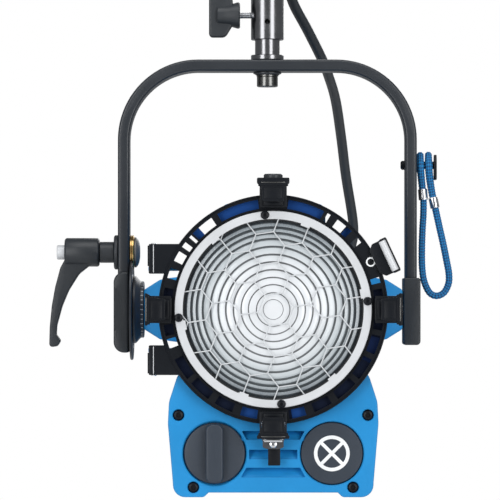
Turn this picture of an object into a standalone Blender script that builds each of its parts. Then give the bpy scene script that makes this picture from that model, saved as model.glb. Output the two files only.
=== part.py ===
"""A fresnel spotlight hanging in its yoke from a 16 mm stud.

Lengths below are millimetres, and finish() turns them into metres. The origin is the centre of the
receptacle's mouth, where the stud enters. X runs across the lamp, -Y is the way it shines, +Z is up.
Shapes are written around the tilt axis: x from the yoke's centre or the lens axis, z from the axis.
"""
import math

import bmesh
import bpy
from mathutils import Matrix, Vector

METRE = 0.001
CLEARANCE = 0.3

# Where the tilt axis and the lens axis lie
TILT_Z = -250.0
LENS_X = 4.45

# Yoke: a flat bar bent to a U
YOKE_HALF_WIDTH = 113.6
YOKE_BAR = 8.8
YOKE_DEPTH = 29.0
YOKE_TOP = 190.0
YOKE_BOTTOM = -22.0
YOKE_BEND = 61.0
YOKE_INSIDE = YOKE_HALF_WIDTH - YOKE_BAR
PIVOT_R = 5.0
CLAMP_Z = 43.6
CLAMP_BOLT_R = 3.0
HOOK_Z = 110.0
STEM_R = 6.0

# Receptacle for a 16 mm stud
TUBE_R = 12.5
BORE_R = 8.1
TUBE_FOOT = 205.5
TUBE_TOP = 250.0
T_KNOB_Z = 224.3

# Barrel and base of the head
BARREL_R = 70.5
BARREL_WALL = 3.0
BARREL_FRONT = -103.0
BARREL_BACK = 96.0
EAR_X = 98.0
BASE_FRONT = -104.5
PANEL_BACK = -95.0
BASE_BACK = 98.0
BASE_FOOT = -138.3
DISC_X = 43.2
DISC_Z = -106.0
KNOB_R = 22.5
RECESS_R = 23.5
SCREW_PLACES = ((-69.8, -77.8), (69.8, -77.8), (-58.8, -131.0), (58.8, -131.0))

# Lens door
RING_R = 84.5
RING_FRONT = -112.0
RING_BACK = -105.0
RIM_INNER = 72.6
LIP_INNER = 64.0
LENS_R = 67.5
WINDOW_INNER = 74.6
WINDOW_OUTER = 81.4
HINGE_X = -88.0
HINGE_Y = -99.5
LATCH_ANGLE = 25.0
LATCH_PIVOT_R = 94.5
LATCH_PIVOT_Y = -93.0

# Windows round the ring: middle and span in degrees
WINDOWS = (
    (106, 16), (121, 9), (131, 8), (140, 6), (148, 7), (161, 9), (171, 5), (191, 6), (200, 8),
    (213, 12), (228, 12), (243, 10), (257, 9), (283, 9), (297, 10), (312, 12), (327, 12), (341, 10),
    (352, 6), (8, 6), (15, 5), (38, 7), (51, 7), (60, 5), (74, 16),
)

# Light source carriage
LEADSCREW_R = 4.0
ROD_R = 4.0
ROD_X = 30.0
ROD_Z = -80.0

# Cords
CABLE_D = 8.0
COIL_MEAN_R = 40.0
COIL_HALF = 8.4
COIL_CHAMFER = 5.6
COIL_CENTRE = (18.0, 204.0, -52.0)
ROPE_D = 5.0

# Power cable: out of the gland to the edge of the head's sweep
TAIL_ROUTE = ((48.0, 126.7, -92.0), (48.0, 135.0, -92.4), (48.1, 145.0, -94.8), (48.3, 155.6, -100.0))
# Power cable: from the head's sweep down into the coil
LOOP_ROUTE = (
    (48.3, 156.2, -100.4),
    (48.0, 166.0, -106.2),
    (42.0, 180.0, -112.0),
    (30.0, 189.0, -112.0),
    (17.0, 195.6, -102.0),
)
# Power cable: out of the coil, up behind the yoke, past the receptacle and over to the plug
RUN_ROUTE = (
    (23.6, 207.6, 2.6),
    (38.0, 206.4, 11.0),
    (52.0, 203.6, 21.2),
    (62.4, 199.4, 34.4),
    (67.6, 194.4, 50.4),
    (69.4, 188.0, 68.5),
    (63.0, 166.0, 107.5),
    (58.8, 140.0, 137.0),
    (53.6, 104.0, 165.8),
    (46.9, 72.0, 184.8),
    (42.0, 56.0, 195.5),
    (30.7, 36.0, 216.3),
    (20.5, 21.0, 234.0),
    (16.9, 12.0, 246.0),
    (17.0, 10.0, 262.0),
    (17.0, 10.0, 280.0),
    (17.0, 10.0, 296.0),
    (18.2, 14.0, 311.7),
    (21.5, 25.0, 323.1),
    (26.0, 40.0, 327.3),
    (30.5, 55.0, 323.1),
    (33.8, 66.0, 311.7),
    (35.0, 70.0, 297.3),
)
PLUG_TOP = (35.0, 70.0, 294.5)
# Safety cord: from ferrule A over the hook, down, round the bottom and back up to ferrule B
ROPE_ROUTE = (
    (119.0, 2.9, 83.8),
    (118.3, 3.0, 92.0),
    (117.2, 6.2, 103.0),
    (116.7, 6.9, 110.5),
    (116.6, 0.0, 117.8),
    (116.7, -6.9, 110.5),
    (117.2, -6.2, 103.0),
    (118.3, -3.0, 92.0),
    (119.0, -2.9, 84.0),
    (118.9, -3.0, 72.0),
    (118.2, -3.4, 60.7),
    (117.7, -4.0, 45.4),
    (117.9, -5.0, 32.0),
    (119.4, -6.0, 21.5),
    (123.4, -6.5, 13.0),
    (128.8, -6.5, 10.4),
    (134.4, -6.0, 12.8),
    (137.9, -5.4, 19.5),
    (138.3, -5.0, 27.0),
    (136.5, -4.2, 37.5),
    (133.9, -3.6, 50.5),
    (131.2, -3.2, 62.5),
    (128.6, -3.0, 74.4),
    (127.0, -2.9, 82.0),
    (125.2, -3.4, 91.0),
    (123.6, -6.2, 102.0),
    (123.0, -6.9, 110.5),
    (122.8, 0.0, 117.8),
    (123.0, 6.9, 110.5),
    (123.6, 6.2, 102.0),
    (125.2, 3.4, 91.0),
    (127.0, 2.9, 82.0),
    (127.8, 2.9, 78.2),
)


# ---------------------------------------------------------------- helpers

def material(name, colour, roughness, metallic=0.0):
    """A Principled material."""
    made = bpy.data.materials.new(name)
    made.use_nodes = True
    shader = made.node_tree.nodes["Principled BSDF"]
    shader.inputs["Base Color"].default_value = (*colour, 1.0)
    shader.inputs["Roughness"].default_value = roughness
    shader.inputs["Metallic"].default_value = metallic
    return made


def frame(name, place, parent=None):
    """An empty that pieces hang from, placed in millimetres."""
    empty = bpy.data.objects.new(name, None)
    empty.location = Vector(place) * METRE
    empty.parent = parent
    bpy.context.scene.collection.objects.link(empty)
    return empty


def finish(name, bm, surface, parent, pivot=(0.0, 0.0, 0.0)):
    """Turns a bmesh in millimetres into an object whose origin is the pivot."""
    bmesh.ops.recalc_face_normals(bm, faces=bm.faces)
    bmesh.ops.translate(bm, verts=bm.verts, vec=-Vector(pivot))
    bmesh.ops.scale(bm, verts=bm.verts, vec=(METRE, METRE, METRE))
    mesh = bpy.data.meshes.new(name)
    bm.to_mesh(mesh)
    bm.free()
    mesh.shade_smooth()
    mesh.set_sharp_from_angle(angle=math.radians(35))
    if surface:
        mesh.materials.append(surface)
    made = bpy.data.objects.new(name, mesh)
    made.location = Vector(pivot) * METRE
    made.parent = parent
    bpy.context.scene.collection.objects.link(made)
    return made


def boolean(target, bm, operation):
    """Cuts the bmesh's shapes out of the target, or adds them to it."""
    pivot = target.location / METRE
    operand = finish(f"{target.name}_{operation.lower()}", bm, None, target.parent, pivot)
    operand.hide_render = True
    operand.display_type = "WIRE"
    modifier = target.modifiers.new(operation.title(), "BOOLEAN")
    modifier.operation = operation
    modifier.solver = "EXACT"
    modifier.object = operand
    return target


def cut(target, bm):
    return boolean(target, bm, "DIFFERENCE")


def add(target, bm):
    return boolean(target, bm, "UNION")


def bevel(target, width, segments=1):
    """Rounds the target's sharp edges by a width in millimetres."""
    modifier = target.modifiers.new("Bevel", "BEVEL")
    modifier.width = width * METRE
    modifier.segments = segments
    modifier.limit_method = "ANGLE"
    modifier.angle_limit = math.radians(50)
    return target


def box(low, high, bm=None):
    """A block between two corners."""
    bm = bm or bmesh.new()
    low = Vector(low)
    high = Vector(high)
    matrix = Matrix.Translation((low + high) / 2) @ Matrix.Diagonal((*(high - low), 1.0))
    bmesh.ops.create_cube(bm, size=1.0, matrix=matrix)
    return bm


def along(axis):
    """Turns a shape built along Z so that it lies along the named axis."""
    turns = {
        "X": Matrix.Rotation(math.pi / 2, 4, "Y"),
        "Y": Matrix.Rotation(-math.pi / 2, 4, "X"),
        "Z": Matrix.Identity(4),
    }
    return turns[axis]


def rod(axis, centre, radius, low, high, steps=20, bm=None):
    """A cylinder from low to high along an axis; centre gives its other two coordinates."""
    bm = bm or bmesh.new()
    middle = Vector(centre)
    middle["XYZ".index(axis)] = (low + high) / 2
    matrix = Matrix.Translation(middle) @ along(axis)
    bmesh.ops.create_cone(
        bm, cap_ends=True, segments=steps, radius1=radius, radius2=radius, depth=high - low, matrix=matrix
    )
    return bm


def turned(axis, centre, profile, steps=32, bm=None):
    """Spins a profile of (radius, place along the axis) points; one that misses the axis is a ring."""
    bm = bm or bmesh.new()
    shape = bmesh.new()
    verts = [shape.verts.new((radius, 0.0, place)) for radius, place in profile]
    pairs = list(zip(verts, verts[1:]))
    if profile[0][0] > 0.0:
        pairs.append((verts[-1], verts[0]))
    edges = [shape.edges.new(pair) for pair in pairs]
    bmesh.ops.spin(
        shape, geom=verts + edges, cent=(0, 0, 0), axis=(0, 0, 1), angle=math.tau, steps=steps, use_merge=True
    )
    bmesh.ops.remove_doubles(shape, verts=shape.verts, dist=0.0001)
    bmesh.ops.recalc_face_normals(shape, faces=shape.faces)
    bmesh.ops.transform(shape, verts=shape.verts, matrix=Matrix.Translation(centre) @ along(axis))
    return merge(bm, shape)


def merge(bm, other):
    """Adds another bmesh to this one."""
    mesh = bpy.data.meshes.new("merge")
    other.to_mesh(mesh)
    other.free()
    bm.from_mesh(mesh)
    bpy.data.meshes.remove(mesh)
    return bm


def rounded(corners, steps=5):
    """An outline through (u, v, radius) corners, with an arc at each corner that has a radius."""
    outline = []
    for index, (u, v, radius) in enumerate(corners):
        here = Vector((u, v))
        if radius == 0:
            outline.append(here)
            continue
        before = (Vector(corners[index - 1][:2]) - here).normalized()
        after = (Vector(corners[(index + 1) % len(corners)][:2]) - here).normalized()
        half = before.angle(after) / 2
        centre = here + (before + after).normalized() * radius / math.sin(half)
        start = here + before * radius / math.tan(half) - centre
        end = here + after * radius / math.tan(half) - centre
        first = math.atan2(start.y, start.x)
        sweep = (math.atan2(end.y, end.x) - first + math.pi) % math.tau - math.pi
        for step in range(steps + 1):
            angle = first + sweep * step / steps
            outline.append(centre + Vector((math.cos(angle), math.sin(angle))) * radius)
    return outline


def arc(radius, first, last, steps, centre=(0.0, 0.0)):
    """Points round a circle between two angles in degrees."""
    points = []
    for step in range(steps + 1):
        angle = math.radians(first + (last - first) * step / steps)
        points.append(Vector(centre) + Vector((math.cos(angle), math.sin(angle))) * radius)
    return points


def prism(axis, outline, low, high, bm=None):
    """Extrudes an outline from low to high; along X it is (y, z), along Y (x, z), along Z (x, y)."""
    bm = bm or bmesh.new()
    places = {
        "X": lambda u, v: (low, u, v),
        "Y": lambda u, v: (u, low, v),
        "Z": lambda u, v: (u, v, low),
    }
    verts = [bm.verts.new(places[axis](point[0], point[1])) for point in outline]
    face = bm.faces.new(verts)
    grown = bmesh.ops.extrude_face_region(bm, geom=[face], use_keep_orig=True)
    top = [item for item in grown["geom"] if isinstance(item, bmesh.types.BMVert)]
    shift = Vector((0.0, 0.0, 0.0))
    shift["XYZ".index(axis)] = high - low
    bmesh.ops.translate(bm, verts=top, vec=shift)
    return bm


def around(bm, angle):
    """Turns a shape about the lens axis by an angle in degrees."""
    bmesh.ops.rotate(bm, verts=bm.verts, cent=(0, 0, 0), matrix=Matrix.Rotation(math.radians(-angle), 3, "Y"))
    return bm


def smooth_route(points, spacing):
    """Evenly spaced points on a smooth curve through the given ones."""
    given = [Vector(point) for point in points]
    ends = [given[0] * 2 - given[1]] + given + [given[-1] * 2 - given[-2]]
    dense = []
    for a, b, c, d in zip(ends, ends[1:], ends[2:], ends[3:]):
        for step in range(20):
            t = step / 20
            first = b * 2 + (c - a) * t
            second = (a * 2 - b * 5 + c * 4 - d) * t ** 2
            third = (b * 3 - a - c * 3 + d) * t ** 3
            dense.append((first + second + third) / 2)
    dense.append(given[-1])
    total = sum((q - p).length for p, q in zip(dense, dense[1:]))
    count = max(2, round(total / spacing))
    wanted = [total * step / count for step in range(count + 1)]
    route = []
    travelled = 0.0
    for p, q in zip(dense, dense[1:]):
        length = (q - p).length
        while wanted and wanted[0] <= travelled + length + 1e-6:
            share = (wanted.pop(0) - travelled) / length
            route.append(p.lerp(q, min(1.0, share)))
        travelled += length
    return route


def cord(name, points, diameter, spacing, surface, parent):
    """A round cord along a smooth route, with closed ends."""
    route = smooth_route(points, spacing)
    curve = bpy.data.curves.new(name, "CURVE")
    curve.dimensions = "3D"
    curve.bevel_depth = diameter / 2 * METRE
    curve.bevel_resolution = 2
    curve.use_fill_caps = True
    spline = curve.splines.new("POLY")
    spline.points.add(len(route) - 1)
    for point, place in zip(spline.points, route):
        point.co = (*(place * METRE), 1.0)
    curve.materials.append(surface)
    made = bpy.data.objects.new(name, curve)
    made.parent = parent
    bpy.context.scene.collection.objects.link(made)
    return made


# ---------------------------------------------------------------- yoke and what it carries

def make_yoke(parent, look):
    outside = YOKE_HALF_WIDTH
    inside = YOKE_INSIDE
    bend = YOKE_BEND - YOKE_BAR
    corners = (
        (-outside, YOKE_BOTTOM, 0),
        (-outside, YOKE_TOP, YOKE_BEND),
        (outside, YOKE_TOP, YOKE_BEND),
        (outside, YOKE_BOTTOM, 0),
        (inside, YOKE_BOTTOM, 0),
        (inside, YOKE_TOP - YOKE_BAR, bend),
        (-inside, YOKE_TOP - YOKE_BAR, bend),
        (-inside, YOKE_BOTTOM, 0),
    )
    bm = prism("Y", rounded(corners, 8), -YOKE_DEPTH / 2, YOKE_DEPTH / 2)
    yoke = bevel(finish("yoke", bm, look["black"], parent), 1.4)
    holes = rod("X", (0, 0, 0), PIVOT_R + CLEARANCE, -120, -100)
    rod("X", (0, 0, 0), PIVOT_R + CLEARANCE, 100, 120, bm=holes)
    rod("X", (0, 0, CLAMP_Z), CLAMP_BOLT_R + CLEARANCE, -120, -100, bm=holes)
    rod("X", (0, 0, HOOK_Z), 2.3, 100, 120, 12, bm=holes)
    rod("Z", (0, 0, 0), STEM_R + CLEARANCE, 175, 195, bm=holes)
    return cut(yoke, holes)


def make_yoke_caps(parent, look):
    """Covers round the ends of the yoke's arms, open at the top where the bar goes in."""
    corners = ((103.25, -27, 2), (116.25, -27, 3), (116.25, 24, 2), (103.25, 24, 1))
    right = finish("yoke_cap_right", prism("Y", rounded(corners, 3), -18, 18), look["plastic"], parent)
    bevel(right, 1.2)
    cut(right, box((YOKE_INSIDE - 0.4, -15, YOKE_BOTTOM - 0.4), (YOKE_HALF_WIDTH + 0.4, 15, 40)))
    cut(right, rod("X", (0, 0, 0), 8, 100, 108))

    corners = ((-105.2, -32.8, 0), (-116.65, -32.8, 8), (-116.65, 28.6, 8), (-105.2, 28.6, 0))
    left = finish("yoke_cap_left", prism("Y", rounded(corners, 4), -18.5, 18.5), look["plastic"], parent)
    bevel(left, 1.2)
    pocket = box((-YOKE_HALF_WIDTH - 0.4, -15, YOKE_BOTTOM - 0.4), (-90, 15, 40))
    cut(left, pocket)


def make_receptacle(parent, look):
    """Tube for the stud on a flange, its threaded stem, and the washer and nut under the yoke."""
    seat = YOKE_TOP + CLEARANCE
    profile = (
        (0.0, 170.0),
        (STEM_R, 170.0),
        (STEM_R, seat),
        (TUBE_R, seat),
        (TUBE_R, 194.0),
        (9.4, 194.0),
        (9.4, TUBE_FOOT),
        (TUBE_R, TUBE_FOOT),
        (TUBE_R, TUBE_TOP),
        (BORE_R, TUBE_TOP),
        (BORE_R, 212.0),
        (0.0, 212.0),
    )
    tube = finish("stud_receptacle", turned("Z", (0, 0, 0), profile, 24), look["chrome"], parent)
    cut(tube, rod("X", (0, 0, T_KNOB_Z), 2.8, -20, -1, 16))

    under = YOKE_TOP - YOKE_BAR - CLEARANCE
    ring = ((STEM_R + 0.4, under - 2), (10.7, under - 2), (10.7, under), (STEM_R + 0.4, under))
    finish("receptacle_washer", turned("Z", (0, 0, 0), ring), look["steel"], parent)
    nut_top = under - 2 - CLEARANCE
    nut = finish("receptacle_nut", rod("Z", (0, 0, 0), 9.0, nut_top - 7, nut_top, 6), look["steel"], parent)
    cut(nut, rod("Z", (0, 0, 0), STEM_R + 0.4, 160, 190, 24))


def make_t_knob(parent, look):
    """Wing knob and screw that lock the stud; they turn about the screw."""
    pivot = (0.0, 0.0, T_KNOB_Z)
    hub = ((0.0, -38.5), (7.5, -38.5), (8.0, -30.0), (10.0, -22.5), (9.4, -20.85), (0.0, -20.85))
    knob = finish("t_knob", turned("X", pivot, hub, 24), look["plastic"], parent, pivot)
    corners = (
        (-44.5, 207.5, 3),
        (-32.0, 207.5, 6),
        (-26.3, 217.0, 3),
        (-26.3, 236.0, 3),
        (-31.0, 241.0, 3),
        (-44.5, 241.0, 3),
    )
    add(knob, prism("Y", rounded(corners, 3), -4.5, 4.5))
    screw = rod("X", pivot, 2.5, -20.5, -8.4, 16)
    finish("t_knob_screw", screw, look["chrome"], parent, pivot)


def make_clamp(parent, look):
    """Bolt, brass pad, washer, bush and end nut of the tilt clamp."""
    centre = (0.0, 0.0, CLAMP_Z)
    r = CLAMP_BOLT_R
    bore = r + CLEARANCE
    dome = (
        (0.0, -160.5),
        (r, -160.5),
        (r, -101.3),
        (11.5, -101.3),
        (11.5, -100.0),
        (9.0, -98.0),
        (4.5, -97.1),
        (0.0, -97.0),
    )
    finish("clamp_bolt", turned("X", centre, dome, 24), look["steel"], parent)
    pad = ((bore, -104.5), (10.3, -104.5), (10.3, -101.6), (bore, -101.6))
    brass = finish("brake_pad", turned("X", centre, pad, 32), look["brass"], parent)
    cut(brass, rod("X", (0, 0, 0), 38.9, -106.0, -102.1, 64))
    washer = ((bore, -116.9), (12.2, -116.9), (13.1, -115.9), (13.1, -113.9), (bore, -113.9))
    finish("clamp_washer", turned("X", centre, washer), look["steel"], parent)
    bush = ((bore, -127.8), (8.0, -127.8), (8.0, -117.2), (bore, -117.2))
    finish("clamp_bush", turned("X", centre, bush, 24), look["plastic"], parent)
    nut = ((bore, -160.5), (4.6, -160.5), (5.25, -159.5), (5.25, -154.8), (bore, -154.8))
    finish("clamp_end_nut", turned("X", centre, nut, 20), look["chrome"], parent)


def make_tilt_lever(parent, look):
    """Handle that locks the tilt; it turns about the clamp bolt."""
    centre = (0.0, 0.0, CLAMP_Z)
    hub = ((0.0, -154.5), (9.6, -154.5), (10.9, -153.0), (10.9, -129.5), (9.6, -128.1), (0.0, -128.1))
    lever = finish("tilt_lock_lever", turned("X", centre, hub, 24), look["plastic"], parent, centre)
    corners = (
        (-129.5, 34.5, 1),
        (-136.9, 31.5, 8),
        (-146.0, 19.5, 20),
        (-153.5, 3.4, 20),
        (-158.2, -12.0, 8),
        (-157.2, -26.0, 4),
        (-161.5, -28.8, 3),
        (-166.6, -27.5, 4),
        (-165.1, -8.0, 20),
        (-162.2, 14.9, 15),
        (-157.8, 31.7, 6),
        (-154.4, 38.0, 2),
        (-152.0, 44.0, 2),
        (-131.0, 44.0, 1),
    )
    add(lever, prism("Y", rounded(corners, 3), -6.0, 6.0))
    cut(lever, rod("X", centre, CLAMP_BOLT_R + CLEARANCE, -170, -120, 24))


def make_pivots(parent, look):
    """Bolts on the tilt axis, one in each arm of the yoke."""
    finish("pivot_bolt_left", rod("X", (0, 0, 0), PIVOT_R, -113.3, -80.0), look["steel"], parent)
    finish("pivot_bolt_right", rod("X", (0, 0, 0), PIVOT_R, 88.0, 113.3), look["steel"], parent)


def make_safety_hook(parent, look):
    """Post and plate that keep the safety cord, with the screw that holds them."""
    outside = YOKE_HALF_WIDTH + CLEARANCE
    hook = finish("safety_hook", rod("X", (0, 0, HOOK_Z), 3.0, outside, 128.0, 16), look["steel"], parent)
    corners = ((-8, 98.8, 3), (8, 98.8, 3), (8, 112.0, 6), (4, 118.0, 3), (-4, 118.0, 3), (-8, 112.0, 6))
    add(hook, prism("X", rounded(corners, 3), 127.0, 129.0))
    cut(hook, rod("X", (0, 0, HOOK_Z), 2.2, 110, 122, 12))
    screw = ((0.0, 101.6), (2.4, 101.6), (3.5, 102.9), (3.5, 104.5), (2.0, 104.5), (2.0, 121.0), (0.0, 121.0))
    finish("safety_hook_screw", turned("X", (0, 0, HOOK_Z), screw, 16), look["steel"], parent)


def make_safety_cord(parent, look):
    cord("safety_cord", ROPE_ROUTE, ROPE_D, 5.5, look["rope"], parent)
    places = (("ferrule_inner", (118.68, 0, 87.7), 0.08), ("ferrule_outer", (127.1, 0, 81.5), 0.2))
    for name, centre, lean in places:
        outer = rounded(((-3.4, -6.4, 3.3), (3.4, -6.4, 3.3), (3.4, 6.4, 3.3), (-3.4, 6.4, 3.3)), 4)
        inner = rounded(((-2.85, -5.9, 2.8), (2.85, -5.9, 2.8), (2.85, 5.9, 2.8), (-2.85, 5.9, 2.8)), 4)
        shell = prism("Z", outer, -4.2, 4.2)
        bore = prism("Z", inner, -5, 5)
        for bm in (shell, bore):
            turn = Matrix.Rotation(-lean, 4, "Y")
            bmesh.ops.transform(bm, verts=bm.verts, matrix=Matrix.Translation(centre) @ turn)
        ferrule = finish(name, shell, look["chrome"], parent)
        cut(ferrule, bore)


# ---------------------------------------------------------------- head

def barrel_outline(radius, vent_half_width, vent_top, corner):
    """Round barrel with the flat-topped vent along its crown."""
    start = math.degrees(math.acos(vent_half_width / radius))
    outline = arc(radius, 180 - start, 360 + start, 44)
    side = vent_half_width
    crown = ((side, 0, 0), (side, vent_top, corner), (-side, vent_top, corner), (-side, 0, 0))
    return outline + rounded(crown, 3)[1:-1]


def make_barrel(parent, look):
    """Casting that holds the optics, with the ears it tilts on and the lugs for the door's hinge."""
    outer = barrel_outline(BARREL_R, 38.5, 78.0, 6.0)
    barrel = finish("barrel_casting", prism("Y", outer, BARREL_FRONT, BARREL_BACK), look["blue"], parent)
    ears = bmesh.new()
    for side in (-1, 1):
        upper = ((62, 26), (78, 24), (86, 22.5), (EAR_X, 14.9))
        lower = tuple((x, -z) for x, z in reversed(upper))
        prism("Y", [(side * x, z) for x, z in upper + lower], -21, 21, ears)
    for z in (-31.5, 28.5):
        box((-92, -103.7, z), (-62, -93, z + 3), ears)
    add(barrel, ears)
    inner = barrel_outline(BARREL_R - BARREL_WALL, 35.5, 75.0, 4.0)
    hollow = prism("Y", inner, BARREL_FRONT - 5, BARREL_BACK + 5)
    cut(barrel, hollow)
    openings = rod("X", (0, 0, 0), PIVOT_R + CLEARANCE, -110, -78)
    rod("X", (0, 0, 0), PIVOT_R + CLEARANCE, 78, 110, bm=openings)
    rod("Z", (HINGE_X, HINGE_Y, 0), 2.3, -40, 40, 12, bm=openings)
    box((-36, -60, -90), (36, 76, -50), openings)
    for y in range(-72, 73, 24):
        box((-30, y - 7, 70), (30, y + 7, 90), openings)
    cut(barrel, openings)


def base_outline(inset=0.0):
    """Outline of the base, seen from the front: wide shoulders, slightly narrower feet."""
    side = -inset
    foot = BASE_FOOT + inset
    half = (
        (62.0 + side, -36.0 - inset, 2),
        (71.0 + side, -50.0, 12),
        (76.8 + side, -68.0, 20),
        (77.6 + side, -84.0, 30),
        (74.0 + side, -127.0, 0),
        (73.4 + side, foot, 9),
        (48.0 + inset, foot, 5),
        (45.0 + inset, -134.7 + inset, 1),
    )
    left = tuple((-x, z, r) for x, z, r in reversed(half))
    return rounded(half + left, 3)


def make_base(parent, look):
    """Hollow base under the barrel, open at both ends for its panels."""
    bm = prism("Y", base_outline(), PANEL_BACK + CLEARANCE, BASE_BACK)
    base = finish("base_housing", bm, look["blue"], parent)
    hollow = prism("Y", base_outline(3.0), -110, 110)
    cut(base, hollow)
    barrel = rod("Y", (0, 0, 0), BARREL_R + 0.5, -110, 110, 64)
    for side in (-1, 1):
        for y in range(-60, 61, 20):
            box((side * 60 - 25, y - 3, -125), (side * 60 + 25, y + 3, -95), barrel)
    cut(base, barrel)


def make_front_panel(parent, look):
    """Front of the base: recesses for the focus knob and the badge, with louvres between them."""
    bm = prism("Y", base_outline(), BASE_FRONT, PANEL_BACK)
    panel = bevel(finish("front_panel", bm, look["blue"], parent), 1.5)
    shapes = rod("Y", (0, 0, 0), BARREL_R + 0.5, -110, -90, 64)
    for x in (-DISC_X, DISC_X):
        rod("Y", (x, 0, DISC_Z), RECESS_R, -110, -99, 40, shapes)
    cut(panel, shapes)
    slots = rod("Y", (-DISC_X, 0, DISC_Z), LEADSCREW_R + 0.4, -105, -90, 20)
    for half_width, low, high in ((20.0, -96.0, -89.2), (16.5, -110.0, -103.2), (21.0, -123.5, -116.0)):
        box((-half_width, -110, low), (half_width, -90, high), slots)
    for x, z in SCREW_PLACES:
        rod("Y", (x, 0, z), 4.3, -110, -101, 20, slots)
    cut(panel, slots)


def make_badge(parent, look):
    profile = ((0, -99.4), (22.9, -99.4), (22.9, -102.6), (22.3, -103.3), (0, -103.3))
    finish("badge_disc", turned("Y", (DISC_X, 0, DISC_Z), profile, 40), look["grey"], parent)


def make_focus(parent, look):
    """Knob with its grip bar, and the leadscrew it turns."""
    pivot = (-DISC_X, 0.0, DISC_Z)
    profile = ((0, -99.4), (KNOB_R, -99.4), (KNOB_R, -102.6), (KNOB_R - 1, -103.6), (0, -103.6))
    knob = finish("focus_knob", turned("Y", pivot, profile, 40), look["grey"], parent, pivot)
    corners = [
        (-DISC_X + across * 5.5, DISC_Z + up * 20.5, 4)
        for across, up in ((-1, -1), (1, -1), (1, 1), (-1, 1))
    ]
    add(knob, prism("Y", rounded(corners, 4), -110.5, -101))
    screw = rod("Y", pivot, LEADSCREW_R, -99.0, 90.0)
    finish("focus_leadscrew", screw, look["steel"], parent, pivot)


def make_rods(parent, look):
    for name, x in (("guide_rod_left", -ROD_X), ("guide_rod_right", ROD_X)):
        finish(name, rod("Y", (x, 0, ROD_Z), ROD_R, -94.4, 97.6), look["steel"], parent)


def make_carriage(parent, look):
    """Carriage that slides on the rods, driven by the leadscrew; it carries the lamp and reflector."""
    carriage = finish("lamp_carriage", box((-52, -22, -92), (38, 42, -72)), look["steel"], parent)
    posts = box((-14, -14, -74), (14, 14, -60.3))
    box((-10, 39, -74), (10, 41.5, 8), posts)
    add(carriage, posts)
    add(carriage, box((-52.5, -20, -113), (-34, 20, -88)))
    bores = rod("Y", (-DISC_X, 0, DISC_Z), LEADSCREW_R + CLEARANCE, -40, 60)
    for x in (-ROD_X, ROD_X):
        rod("Y", (x, 0, ROD_Z), ROD_R + CLEARANCE, -40, 60, bm=bores)
    cut(carriage, bores)
    holder = finish("lamp_holder", box((-17, -13, -60), (17, 13, -40)), look["ceramic"], parent)
    bevel(holder, 2.0)
    bulb = [(0.0, -39.7), (13.0, -39.7), (13.0, -26.0), (9.0, -22.0), (9.0, -20.0)]
    bulb += [(11.0, -14.0), (11.0, 18.0)]
    bulb += [tuple(point) for point in arc(11.0, 20, 70, 3, (0, 18))]
    bulb += [(0.0, 29.0)]
    finish("lamp", turned("Z", (0, 0, 0), bulb, 24), look["glass"], parent)
    outer = []
    inner = []
    for step in range(5):
        angle = math.radians(5 + 43 * step / 4)
        outer.append((54 * math.sin(angle), 54 * math.cos(angle) - 16))
        inner.append((52.5 * math.sin(angle), 52.5 * math.cos(angle) - 16))
    finish("reflector", turned("Y", (0, 0, 0), outer + inner[::-1], 24), look["mirror"], parent)


def make_discs(parent, look):
    """Brake disc and scale disc on the left ear, turning with the head."""
    bore = PIVOT_R + CLEARANCE
    brake = ((bore, -108.8), (38.5, -108.8), (38.5, -106.8), (bore, -106.8))
    finish("brake_disc", turned("X", (0, 0, 0), brake, 40), look["black"], parent)
    scale = ((bore, -106.4), (25.7, -106.4), (25.7, -104.6), (20.3, -100.6), (20.3, -98.4), (bore, -98.4))
    finish("scale_disc", turned("X", (0, 0, 0), scale, 28), look["silver"], parent)


def make_rear(parent, look):
    """Covers on the back of the barrel and the base, with the cable gland."""
    outer = barrel_outline(BARREL_R, 38.5, 78.0, 6.0)
    bm = prism("Y", outer, BARREL_BACK + CLEARANCE, BARREL_BACK + 6)
    cover = finish("rear_cover", bm, look["blue"], parent)
    slots = bmesh.new()
    for z in range(-24, 25, 12):
        corners = ((-34, z - 3, 2.9), (34, z - 3, 2.9), (34, z + 3, 2.9), (-34, z + 3, 2.9))
        prism("Y", rounded(corners, 3), 90, 110, slots)
    cut(cover, slots)
    bm = prism("Y", base_outline(), BASE_BACK + CLEARANCE, BASE_BACK + 5)
    panel = finish("rear_panel", bm, look["blue"], parent)
    shapes = rod("Y", (0, 0, 0), BARREL_R + 0.5, 90, 110, 64)
    cut(panel, shapes)
    gland = [(0.0, 103.4), (10.0, 103.4), (10.0, 107.6), (8.0, 108.0)]
    gland += [(7.6, 113.0), (5.2, 126.3), (0.0, 126.3)]
    finish("cable_gland", turned("Y", (48, 0, -92), gland, 24), look["plastic"], parent)


def make_vent_cover(parent, look):
    cover = finish("top_vent_cover", box((-22, -84, 78.3), (22, 84, 80.3)), look["black"], parent)
    slots = bmesh.new()
    for y in range(-72, 73, 12):
        box((-16, y - 2, 75), (16, y + 2, 85), slots)
    cut(cover, slots)


# ---------------------------------------------------------------- lens door

def window_cutter(bm, middle, span, low=WINDOW_INNER, high=WINDOW_OUTER):
    """A window through the ring, between two radii."""
    steps = max(1, round(span / 6))
    outline = arc(high, middle - span / 2, middle + span / 2, steps)
    outline += arc(low, middle + span / 2, middle - span / 2, steps)
    prism("Y", outline, RING_FRONT - 3, RING_BACK + 3, bm)


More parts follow.
